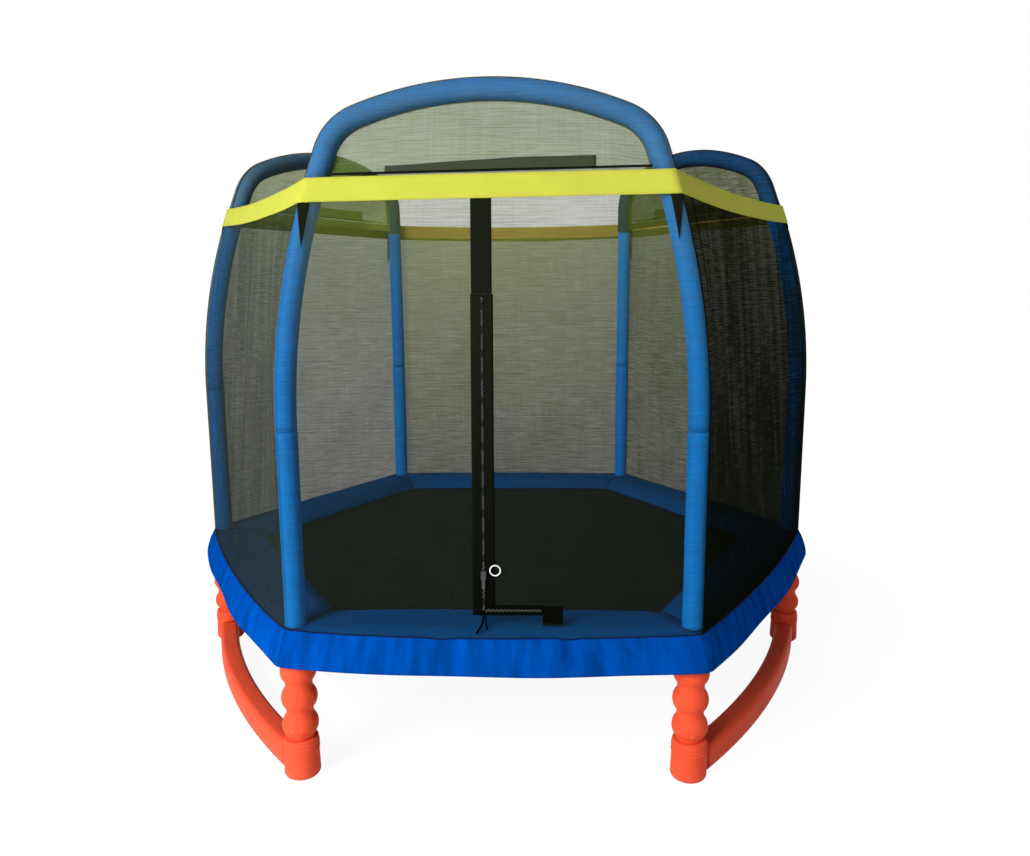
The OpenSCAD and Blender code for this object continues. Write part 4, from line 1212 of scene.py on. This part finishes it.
class TRAMPOLINE_OT_pad(bpy.types.Operator):
    """Add the padded ring over the springs: six filled lengths, sewn at the corners"""

    bl_idname = "trampoline.pad"
    bl_label = "Safety pad"

    def execute(self, context):
        blank = pad_length()
        whole = joined([settled(blank.data, k) for k in CORNERS])
        bpy.data.objects.remove(blank)
        lay_uv(whole, lambda co: co.xy)
        piece = make_piece("pad_ring", whole, "pad vinyl")
        fine = piece.modifiers.new("Smooth", "SUBSURF")
        fine.levels = fine.render_levels = 1
        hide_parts("safety_pad")
        runs = []
        for i in CORNERS:
            out = corner_turn(i) @ Vector((1, 0, 0))
            near, wide = PAD_INNER / SIDE + 0.004, (PAD_OUTER - PAD_INNER - 0.01) / SIDE
            level = Vector((0, 0, PAD_TOP - 0.001))
            runs.append([out * (near + wide * j / 12) + level for j in range(13)])
        make_piece("pad_seams", tubes(runs, 0.0016), "thread")
        return {"FINISHED"}


PULLS = (  # folds of the front skirt: place along, width, depth, slant
    (-0.132, 0.024, 1.0, 0.01), (-0.10, 0.030, 0.4, 0.05), (-0.36, 0.06, 0.35, 0.0),
    (0.196, 0.016, 1.2, 0.02), (0.235, 0.018, 0.45, 0.10), (0.290, 0.016, 0.5, 0.12),
    (0.340, 0.018, 0.55, 0.12), (0.395, 0.015, 0.4, 0.10), (0.455, 0.018, 0.5, 0.05),
    (-0.47, 0.020, 0.35, -0.04), (-0.25, 0.026, 0.3, -0.03), (0.03, 0.03, 0.25, 0.03),
)


def skirt_place(k, u, fall):
    """A place on the skirt: u along the side, fall from its seam to its hem."""
    side = (u - 0.5) * 2
    top_a = PAD_OUTER + SEAT + belly(side)
    q = 60 * u
    swing = math.sin(math.radians(12 * q)) * math.sin(math.radians(3 * q))
    bulge, wave = 0.027, 0.005
    a = top_a + bulge * math.sin(math.radians(90 * fall)) + wave * fall * swing
    a += 0.0030 * fall * ruffle(u * 5.0, fall * 0.8, seed=4.0 * k)
    free = math.sin(math.pi * min(1.0, fall + 0.15))  # least held between the seam and the hem
    a += 0.0016 * ruffle(u * 16.0 + fall * 2.0, fall * 2.0, seed=2.0 * k) * free
    z = PAD_TOP - sag(k, side) - (SKIRT_H - 0.003) * fall
    half = a * TAN
    if k == FRONT:
        fold_in, fold_down = 0.0095, 0.0040
        for x, wide, deep, slant in PULLS:
            near = math.exp(-(((side * half) - x - slant * (fall - 0.3)) / wide) ** 2)
            a -= fold_in * deep * near * math.sin(math.pi * min(1.0, 0.1 + fall))
            z -= fold_down * deep * near * (1 - fall) ** 2
    soft = 0.020
    gap = half * (1 - abs(side))
    if gap < soft:  # rounded corner
        a -= (soft - gap) ** 2 / soft * 0.28
    return side_turn(k) @ Vector((a, side * half, z))


class TRAMPOLINE_OT_skirt(bpy.types.Operator):
    """Add the skirt that hangs from the pad's edge, with its corner seams and dark binding"""

    bl_idname = "trampoline.skirt"
    bl_label = "Skirt"

    def execute(self, context):
        drop = 0.098
        whole = sewn([
            sheet_mesh(80, 14, lambda u, v: skirt_place(k, u, 1 - v), (1.064, drop)) for k in CORNERS
        ])
        piece = make_piece("skirt_cloth", whole, "skirt cloth")
        thicken(piece, 0.0016, 1.0)
        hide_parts("pad_skirt")
        top, seams, hem = [], [], []
        for k in CORNERS:
            top += [skirt_place(k, j / 60, 0.0) + Vector((0, 0, 0.0006)) for j in range(60)]
            out = corner_turn(k) @ Vector((1, 0, 0))
            seams.append([skirt_place(k, 0.0, j / 8) + out * 0.0016 for j in range(9)])
            hem += [skirt_place(k, j / 60, 0.985) for j in range(60)]
        binding = make_piece("skirt_binding", tubes([top], 0.0019, closed=True), "thread")
        seam = make_piece("skirt_seams", tubes(seams, 0.0011), "skirt cloth")
        edge = make_piece("skirt_hem", tubes([hem], 0.0017, closed=True), "skirt cloth")
        return {"FINISHED"}


class TRAMPOLINE_OT_ties(bpy.types.Operator):
    """Add the straps that hold the pad to the rails"""

    bl_idname = "trampoline.ties"
    bl_label = "Pad ties"

    def execute(self, context):
        width, gap = 0.020, 0.0008
        r = RAIL_R + SEAT + gap
        path = [(-r, 0.0155)]
        path += [(r * math.cos(math.radians(a)), r * math.sin(math.radians(a))) for a in range(180, 361, 12)]
        path += [(r, 0.0155)]
        long = sum((Vector(b) - Vector(a)).length for a, b in zip(path, path[1:]))
        parts = []
        for k in CORNERS:
            for s in (-1, 1):
                def place(u, v):
                    spot = u * (len(path) - 1)
                    j = min(int(spot), len(path) - 2)
                    p = Vector(path[j]).lerp(Vector(path[j + 1]), spot - j)
                    y = s * 0.256 + (v - 0.5) * width
                    return side_turn(k) @ Vector((AXIS_A + p.x, y, RAIL_Z + p.y))

                parts.append(sheet_mesh(len(path) - 1, 4, place, (long, width)))
        piece = make_piece("rail_ties", joined(parts), "webbing")
        thicken(piece, 0.0012)
        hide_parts("pad_ties")
        return {"FINISHED"}


def droop(k, t, z):
    """How far the net's top and its band hang between two poles that no arch joins."""
    if k % 2:
        return 0.0
    return NET_HANG * (1 - t * t) * clamp((z - NET_HANG_Z) / (BAND_Z - NET_HANG_Z))


def net_place(k, t, z):
    """A place on the net's wall, with the slight waves of its tension."""
    calm = min(1.0, (1 - abs(t)) / 0.15)  # no waves next to the poles, the pad, the band and the zip
    calm *= min(1.0, (z - PAD_TOP) / 0.05)
    calm *= min(1.0, max(0.0, BAND_Z - z) / 0.08)
    if k == FRONT:
        calm *= min(1.0, abs(t * CORNER_R / 2 - DOOR_X) / 0.12) ** 2
    wave = 0.0028 * calm * (0.6 + ruffle(t * 6.0, z * 1.4, seed=11.0 * k))
    if k % 2 == 0:
        wave += 0.0045 * calm * max(0.0, ruffle(t * 13.0, z * 0.9, seed=5.0 * k))
    hang = droop(k, t, z)
    foot = max(0.0, 1 - (z - PAD_TOP) / 0.02)  # reaches the skirt's seam past the pad's edge
    reach = belly(t) + 0.003 * (1 - t**8)
    a = wall_a(k, t, z) + NET_T / 2 + max(0.0, wave) - 0.4 * hang + foot * reach
    return side_turn(k) @ Vector((a, t * (edge_h(k, z) - SEAT), z - hang - foot * sag(k, t) * 1.1))


class TRAMPOLINE_OT_net(bpy.types.Operator):
    """Add the six net walls, the front one parted behind the zip"""

    bl_idname = "trampoline.net"
    bl_label = "Net walls"

    def execute(self, context):
        finish = {
            1: "net rear right", 2: "net rear", 3: "net rear left",
            4: "net side left", 5: "net front", 6: "net side right",
        }
        door, slit = DOOR_X / (CORNER_R / 2), DOOR_SLIT / CORNER_R
        low = PAD_TOP + SEAT
        for k in CORNERS:
            top = BAND_Z + (BAND_H / 2 if k % 2 else 0.010)
            spans = [(-1, door - slit, "a"), (door + slit, 1, "b")] if k == FRONT else [(-1, 1, "")]
            for t0, t1, tag in spans:
                wide = (t1 - t0) * (edge_h(k, PAD_TOP) + edge_h(k, BAND_Z)) / 2 + 0.01
                columns = max(12, int(40 * (t1 - t0)))
                bm = sheet_mesh(
                    columns * (1 if k % 2 else 2), 48,
                    lambda u, v: net_place(k, t0 + (t1 - t0) * u, low + (top - low) * v),
                    (wide, top - low),
                )
                if tag == "a":  # whole again below the zip's level leg
                    below = ZIP_LOW - LEVEL_HALF
                    gusset = sheet_mesh(
                        6, 8, lambda u, v: net_place(k, t1 + 2 * slit * u, low + below * v),
                        (DOOR_SLIT, below),
                    )
                    bm = joined([bm, gusset])
                face_out(bm, side_turn(k) @ Vector((1, 0, 0)))
                piece = make_piece(f"net_wall_{k}{tag}", bm, finish[k])
                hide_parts("net_walls")
        return {"FINISHED"}


def arch_line(border, foot):
    """Outline of an arch in its plane, from its right foot over to its left foot."""
    points = [(SPRING_H - foot * math.tan(LEAN) - border, foot)]
    for j in range(9):
        a = LEAN + (CROWN - LEAN) * j / 8
        bend = SHOULDER_R - border
        points.append((SHOULDER_U + bend * math.cos(a), SHOULDER_V + bend * math.sin(a)))
    for j in range(1, 30):
        a = CROWN + (math.pi - 2 * CROWN) * j / 30
        points.append(((CROWN_R - border) * math.cos(a), CROWN_V + (CROWN_R - border) * math.sin(a)))
    mirror = [(-y, z) for y, z in reversed(points[:10])]
    return points + mirror


def arch_depth(y, z):
    """How far a place in an arch's plane lies inside the middle line of its tube."""
    y = abs(y)
    if LEAN < math.atan2(z - SHOULDER_V, y - SHOULDER_U) < CROWN:
        return SHOULDER_R - math.hypot(y - SHOULDER_U, z - SHOULDER_V)
    line = (SPRING_H - y) * math.cos(LEAN) - z * math.sin(LEAN)
    return min(line, CROWN_R - math.hypot(y, z - CROWN_V))


class TRAMPOLINE_OT_gores(bpy.types.Operator):
    """Add the dark gores over the net's corner seams, under the band"""

    bl_idname = "trampoline.gores"
    bl_label = "Corner gores"

    def execute(self, context):
        wide, tall = 0.029, 0.108
        parts = []
        for i in CORNERS:
            def place(u, v):
                z = BAND_Z - 0.0006 - tall * (1 - v) - CORNER_DROP.get(i, 0.0)
                x = 0.012 + 0.020 * (1 - v) + (u - 0.5) * wide * v
                k, s = (i, -1) if i % 2 else (i - 1, 1)
                if x < 0:  # round the corner
                    k, s = (i - 2 * (i % 2)) % 6 + i % 2, -s
                off = NET_T + 0.0009
                return side_turn(k) @ Vector((edge_a(k, z) + off, s * (edge_h(k, z) + off * TAN - abs(x)), z))

            bm = sheet_mesh(8, 12, place, (wide, tall), loop=True)
            face_out(bm)
            parts.append(bm)
        piece = make_piece("net_gores", joined(parts), "webbing")
        thicken(piece, 0.0006)
        return {"FINISHED"}


class TRAMPOLINE_OT_arch_nets(bpy.types.Operator):
    """Add the net in each arch and the mesh sleeve round its foam"""

    bl_idname = "trampoline.arch_nets"
    bl_label = "Arch nets"

    def execute(self, context):
        s = sizes()
        foot = (BAND_Z + BAND_H / 2 - SPRING_Z) / math.cos(TILT)
        cuts = [((0, j * 0.02 - 0.48, 0), (0, 1, 0)) for j in range(49)]
        cuts += [((0, 0, foot + (j + 1) * 0.018), (0, 0, 1)) for j in range(16)]
        radius = s.arch_foam_diameter / 2 + s.sleeve_gap
        for n, finish, sleeve in (
            (1, "net hoop right", "sleeve right"),
            (2, "net hoop left", "sleeve left"),
            (3, "net arch", "sleeve front"),
        ):
            k = 2 * n - 1
            bm = bmesh.new()
            bm.faces.new([bm.verts.new((0, y, z)) for y, z in arch_line(NET_EDGE, foot)])
            for spot, way in cuts:
                whole = bm.verts[:] + bm.edges[:] + bm.faces[:]
                bmesh.ops.bisect_plane(bm, geom=whole, dist=1e-6, plane_co=spot, plane_no=way)
            lay_uv(bm, lambda co: (co.y + 0.5, co.z))
            area = sum(f.calc_area() for f in bm.faces)
            for vert in bm.verts:
                y, z = vert.co.y, vert.co.z
                inside = ease((arch_depth(y, z) - NET_EDGE) / 0.12)
                full = PLATE_X + 0.0004 + 0.002 * max(0.0, ruffle(y, z, scale=7.0, seed=k))
                vert.co.x = -0.004 + (full + 0.004) * inside
            bmesh.ops.recalc_face_normals(bm, faces=bm.faces)
            if bm.faces[0].normal.x < 0:
                bmesh.ops.reverse_faces(bm, faces=bm.faces)
            bmesh.ops.transform(bm, matrix=arch_frame(k), verts=bm.verts)
            piece = make_piece(f"arch_net_{n}", bm, finish)
            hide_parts("arch_nets")
            line = []
            for j in range(41):  # painted shade: a dark tube along the band's upper edge, where the net's foot lies in shade
                t = 0.92 * (j / 20 - 1)
                up = (BAND_TOP + 0.0004 - corner_drop(k, t) - SPRING_Z) / math.cos(TILT)
                line.append(arch_frame(k) @ Vector((PLATE_X + 0.0032, t * SPRING_H, up)))
            band_shade_tube = make_piece(f"arch_band_shade_{n}", tubes([line], 0.0030), "webbing")
            bm = arch_path(radius, 12, only_top=True)
            lay_uv(bm, lambda co: co.yz)
            bmesh.ops.transform(bm, matrix=side_turn(k), verts=bm.verts)
            piece = make_piece(f"arch_sock_{n}", bm, sleeve)
            line = [arch_frame(k) @ Vector((0, y, z)) for y, z in arch_line(-radius - 0.0008, 0.0)]
            seam = make_piece(f"arch_seam_{n}", tubes([line], 0.0012), "webbing")
        return {"FINISHED"}


def band_place(k, u, v, proud=0.0):
    """A place on the band: u along the side, v up it, with the slight waves of sewn cloth."""
    t = (u - 0.5) * 2
    z = BAND_Z + BAND_H * v - corner_drop(k, t)
    calm = min(1.0, (1 - abs(t)) / 0.06)
    a = band_a(k, z) + 0.0010 + proud + 0.0014 * calm * ruffle(u * 9.0, v * 2.0, seed=5.0 * k)
    rise = 0.0012 * calm * ruffle(u * 4.0, 3.0, seed=3.0 * k)
    hang = droop(k, t, BAND_Z)
    along = t * (band_h(k, z) + (0.0010 + proud) * TAN)
    return side_turn(k) @ Vector((a - 0.4 * hang, along, z + rise - hang))


class TRAMPOLINE_OT_band(bpy.types.Operator):
    """Add the bright band round the top of the net and the strips above it"""

    bl_idname = "trampoline.band"
    bl_label = "Band and strips"

    def execute(self, context):
        whole = sewn([sheet_mesh(60, 8, lambda u, v: band_place(k, u, v), (0.98, BAND_H)) for k in CORNERS])
        band = make_piece("band_cloth", whole, "band cloth")
        thicken(band, 0.0014, 0.0).modifiers["Thickness"].material_offset = 1
        band.data.materials.append(material("band lining"))
        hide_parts("net_band")
        hems = [[band_place(k, j / 60, v, 0.0002) for k in CORNERS for j in range(60)] for v in (0.03, 0.97)]
        hem = make_piece("band_hems", tubes(hems, 0.0012, closed=True), "band cloth")
        round_len = sum(2 * band_h(k, BAND_Z + BAND_H / 2) for k in CORNERS)
        foot = (BAND_TOP - SPRING_Z) / math.cos(TILT) - 0.002
        wide, tall = 0.5, 0.032
        for n in (1, 2, 3):
            k = 2 * n - 1

            def place(u, v):
                x = PLATE_X + NET_T + SEAT + 0.0014 + 0.0004 * ruffle(u * 12.0, v, seed=k)
                z = foot + 0.0008 * ruffle(u * 7.0, 1.0, seed=k + 4)
                if k == FRONT:
                    z += (0.017 + 0.015 * min(1.0, u / 0.62)) * v - corner_drop(k, u - 0.5)
                else:
                    z += 0.005 + tall * v
                return arch_frame(k) @ Vector((x, (u - 0.5) * wide, z))

            bm = sheet_mesh(50, 6, place, (wide, tall))
            strip = make_piece(f"fastener_strip_{n}", bm, "strip cloth")
            thicken(strip, 0.0018)
            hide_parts("arch_strips")
        return {"FINISHED"}


def smoothed(points, steps=6):
    """More points along a line, curved through the ones given."""
    line = [Vector(points[0])]
    ends = [Vector(points[0]), *map(Vector, points), Vector(points[-1])]
    for a, b, c, d in zip(ends, ends[1:], ends[2:], ends[3:]):
        for j in range(1, steps + 1):
            t = j / steps
            square, cube = a * 2 - b * 5 + c * 4 - d, b * 3 - a - c * 3 + d
            line.append(((b * 2) + (c - a) * t + square * t**2 + cube * t**3) * 0.5)
    return line


TIES = (  # the zip pull's two cords: name, thickness, and points out, across and up from the tape's face
    ("tie_long", 0.0055, (
        (0.002, -0.001, 0.046), (0.003, -0.001, 0.036), (0.006, -0.004, 0.022),
        (0.010, -0.009, 0.012), (0.018, -0.0135, 0.007), (0.025, -0.0165, 0.004),
    )),
    ("tie_short", 0.0045, (
        (0.004, 0.004, 0.046), (0.005, 0.0055, 0.036), (0.0065, 0.005, 0.024),
        (0.009, 0.0075, 0.013), (0.013, 0.010, 0.008),
    )),
)


def door_tape(place):
    """The zip's backing tape: its upright part, the part over it, its level leg and the square patch."""

    def tape(low, high, columns, rows):
        """A flat of the tape between two corners in the doorway's plane."""
        def spot(u, v):
            y = low[0] + (high[0] - low[0]) * u
            z = low[1] + (high[1] - low[1]) * v
            x = TAPE_X + TAPE_T / 2 + 0.00035 * ruffle(y * 30.0, z * 8.0)
            return place @ Vector((x, y, z))

        return sheet_mesh(columns, rows, spot, (high[0] - low[0], high[1] - low[1]))

    flats = [
        tape((-TAPE_W / 2, ZIP_LOW - LEVEL_HALF), (TAPE_W / 2, ZIP_HIGH + 0.006), 8, 100),
        tape((-TAPE_W / 2 + 0.002, ZIP_HIGH + 0.0062), (TAPE_W / 2 - 0.0028, DOOR_H - 0.002), 8, 30),
        tape((TAPE_W / 2, ZIP_LOW - LEVEL_HALF), (ZIP_LEG, ZIP_LOW + LEVEL_HALF), 14, 4),
        tape((ZIP_LEG, PATCH_Z), (ZIP_LEG + PATCH_W, PATCH_Z + PATCH_W), 8, 8),
    ]
    piece = make_piece("zip_tape", joined(flats), "webbing")
    thicken(piece, TAPE_T - 0.0002)
    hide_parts("door_tape")


def zip_teeth(place):
    """Two rows of teeth, up the tape and along its level leg."""
    step = sizes().zip_pitch
    reach, half, deep = 0.0022, 0.0016, 0.0021  # a tooth's reach each way, half its width, its depth
    teeth = []
    for j in range(int((ZIP_HIGH - ZIP_LOW) / step)):
        z = ZIP_LOW + step * (j + 0.5)
        shift = 0.0007 if j % 2 else -0.0007
        low, high = -reach + shift, reach + shift
        teeth.append(box((TAPE_FRONT, low, z - half), (TAPE_FRONT + deep, high, z + half)))
    for j in range(int((ZIP_LEG - 0.006) / step)):
        y = 0.004 + step * (j + 0.5)
        shift = 0.0007 if j % 2 else -0.0007
        low, high = ZIP_LOW - reach + shift, ZIP_LOW + reach + shift
        teeth.append(box((TAPE_FRONT, y - half, low), (TAPE_FRONT + deep, y + half, high)))
    whole = joined(teeth)
    bmesh.ops.transform(whole, matrix=place, verts=whole.verts)
    piece = make_piece("zip_chain", whole, "zip teeth", smooth=False)
    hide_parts("zip_teeth")


def zip_ties(place):
    """The cords that hang from the zip."""
    for name, across, points in TIES:
        points = [(TAPE_FRONT + x, y, z) for x, y, z in points]
        line = [place @ Vector(point) for point in smoothed(points)]
        length = sum((b - a).length for a, b in zip(line, line[1:]))
        cord = make_piece(name, tubes([line], across / 2), "webbing")
        tuple(line[0])
        [tuple(point) for point in line]


class TRAMPOLINE_OT_doorway(bpy.types.Operator):
    """Add the zip's tape with its level leg and patch, its teeth and its cords"""

    bl_idname = "trampoline.doorway"
    bl_label = "Doorway"

    def execute(self, context):
        place = door_frame()
        door_tape(place)
        zip_teeth(place)
        zip_ties(place)
        return {"FINISHED"}


def seen(tree):
    """1 where the camera looks, straight, by a reflection or through something clear."""
    path = node(tree, "LightPath").outputs
    near = maths(tree, "MAXIMUM", path["Is Camera Ray"], path["Is Glossy Ray"])
    return maths(tree, "MAXIMUM", near, path["Is Transmission Ray"])


LIGHTS = (  # name, place, power, size
    ("key", (-4.4, -6.6, 4.6), 725.0, 4.0),
    ("fill", (3.8, -3.2, 3.0), 20.0, 3.0),
    ("back", (-1.0, 4.5, 3.8), 60.0, 3.5),
    ("low", (-1.6, -2.0, 0.6), 17.0, 1.0),
)
FOCAL, FRAME_W, SENSOR = 829.9, 1030, 36.0  # the lens and the frame in pixels, and the sensor in millimetres


def lay_floor(scene):
    """A white floor that takes a soft shadow near the frame and fades into the surroundings."""
    bm = bmesh.new()
    bmesh.ops.create_grid(bm, x_segments=1, y_segments=1, size=30)
    mesh = bpy.data.meshes.new("floor")
    bm.to_mesh(mesh)
    bm.free()
    floor = bpy.data.objects.new("floor", mesh)
    scene.collection.objects.link(floor)
    made = bpy.data.materials.new("floor")
    made.use_nodes = True
    tree = made.node_tree
    tree.nodes.clear()
    plain = node(tree, "BsdfDiffuse", {"Color": (0.93, 0.93, 0.93, 1)})
    glow = node(tree, "Emission", {"Color": (1, 1, 1, 1), "Strength": 1.06})
    away = node(tree, "VectorMath", {0: object_place(tree)}, operation="LENGTH").outputs["Value"]
    share = maths(tree, "MULTIPLY", seen(tree), spread(tree, away, 1.5, 3.0, 0.88, 1.0))
    both = node(tree, "MixShader", {0: share, 1: plain.outputs[0], 2: glow.outputs[0]})
    node(tree, "OutputMaterial", {"Surface": both.outputs[0]})
    mesh.materials.append(made)


def set_surroundings(scene):
    """White where the camera looks, and dimmer as a light."""
    world = bpy.data.worlds.new("surroundings")
    scene.world = world
    world.use_nodes = True
    tree = world.node_tree
    tree.nodes.clear()
    lit = node(tree, "Background", {"Color": (1, 1, 1, 1), "Strength": 0.22})
    white = node(tree, "Background", {"Color": (1, 1, 1, 1), "Strength": 1.0})
    both = node(tree, "MixShader", {0: seen(tree), 1: lit.outputs[0], 2: white.outputs[0]})
    node(tree, "OutputWorld", {"Surface": both.outputs[0]})


def hang_lights(scene):
    """The soft lights, all turned to the middle of the frame."""
    for name, place, power, size in LIGHTS:
        light = bpy.data.lights.new(name, "AREA")
        light.energy = power
        light.size = size
        lamp = bpy.data.objects.new(name, light)
        lamp.location = place
        way = Vector((0, 0, 0.7)) - Vector(place)
        lamp.rotation_euler = way.to_track_quat("-Z", "Y").to_euler()
        scene.collection.objects.link(lamp)


def set_camera(scene):
    """The camera in front of the doorway, lower than the band and turned a little down."""
    lens = bpy.data.cameras.new("camera")
    lens.sensor_width = SENSOR
    lens.lens = FOCAL / FRAME_W * SENSOR
    lens.clip_start = 0.05
    camera = bpy.data.objects.new("camera", lens)
    aim = Matrix.Identity(4)
    for degrees, about in ((1.20, "Z"), (-9.406, "X"), (0.241, "Y"), (90, "X")):
        aim = aim @ Matrix.Rotation(math.radians(degrees), 4, about)
    camera.matrix_world = Matrix.Translation((0.0991, -2.8787, 1.2536)) @ aim
    scene.collection.objects.link(camera)
    scene.camera = camera


class TRAMPOLINE_OT_stage(bpy.types.Operator):
    """Add the floor, the soft lights, the pale surroundings and the camera"""

    bl_idname = "trampoline.stage"
    bl_label = "Stage"

    def execute(self, context):
        scene = context.scene
        scene.view_settings.view_transform = "Standard"
        lay_floor(scene)
        set_surroundings(scene)
        hang_lights(scene)
        set_camera(scene)
        return {"FINISHED"}


STEPS = (
    TRAMPOLINE_OT_finishes,
    TRAMPOLINE_OT_steel,
    TRAMPOLINE_OT_leg_covers,
    TRAMPOLINE_OT_foot_bases,
    TRAMPOLINE_OT_foam,
    TRAMPOLINE_OT_mat,
    TRAMPOLINE_OT_springs,
    TRAMPOLINE_OT_pad,
    TRAMPOLINE_OT_skirt,
    TRAMPOLINE_OT_ties,
    TRAMPOLINE_OT_net,
    TRAMPOLINE_OT_gores,
    TRAMPOLINE_OT_arch_nets,
    TRAMPOLINE_OT_band,
    TRAMPOLINE_OT_doorway,
    TRAMPOLINE_OT_stage,
)


class TRAMPOLINE_PT_panel(bpy.types.Panel):
    """The trampoline's pieces, in the order in which they are made"""

    bl_idname = "TRAMPOLINE_PT_panel"
    bl_label = "Trampoline"
    bl_space_type = "VIEW_3D"
    bl_region_type = "UI"
    bl_category = "Trampoline"

    def draw(self, context):
        for step in STEPS:
            self.layout.operator(step.bl_idname)
        for settings in (context.scene.trampoline_sizes, context.scene.trampoline_colours):
            column = self.layout.column()
            for key in settings.__annotations__:
                column.prop(settings, key)


CLASSES = (TrampolineSizes, TrampolineColours, *STEPS, TRAMPOLINE_PT_panel)


def register():
    """Adds the sizes, the colours, the steps and the panel."""
    for item in CLASSES:
        bpy.utils.register_class(item)
    bpy.types.Scene.trampoline_sizes = bpy.props.PointerProperty(type=TrampolineSizes)
    bpy.types.Scene.trampoline_colours = bpy.props.PointerProperty(type=TrampolineColours)


def unregister():
    """Takes them away again."""
    del bpy.types.Scene.trampoline_colours
    del bpy.types.Scene.trampoline_sizes
    for item in reversed(CLASSES):
        bpy.utils.unregister_class(item)


def main():
    """Makes every piece in order."""
    register()
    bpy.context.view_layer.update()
    for step in STEPS:
        area, action = step.bl_idname.split(".")
        if getattr(getattr(bpy.ops, area), action)() != {"FINISHED"}:
            raise RuntimeError(f"{step.bl_idname} did not finish")


if __name__ == "__main__":
    main()
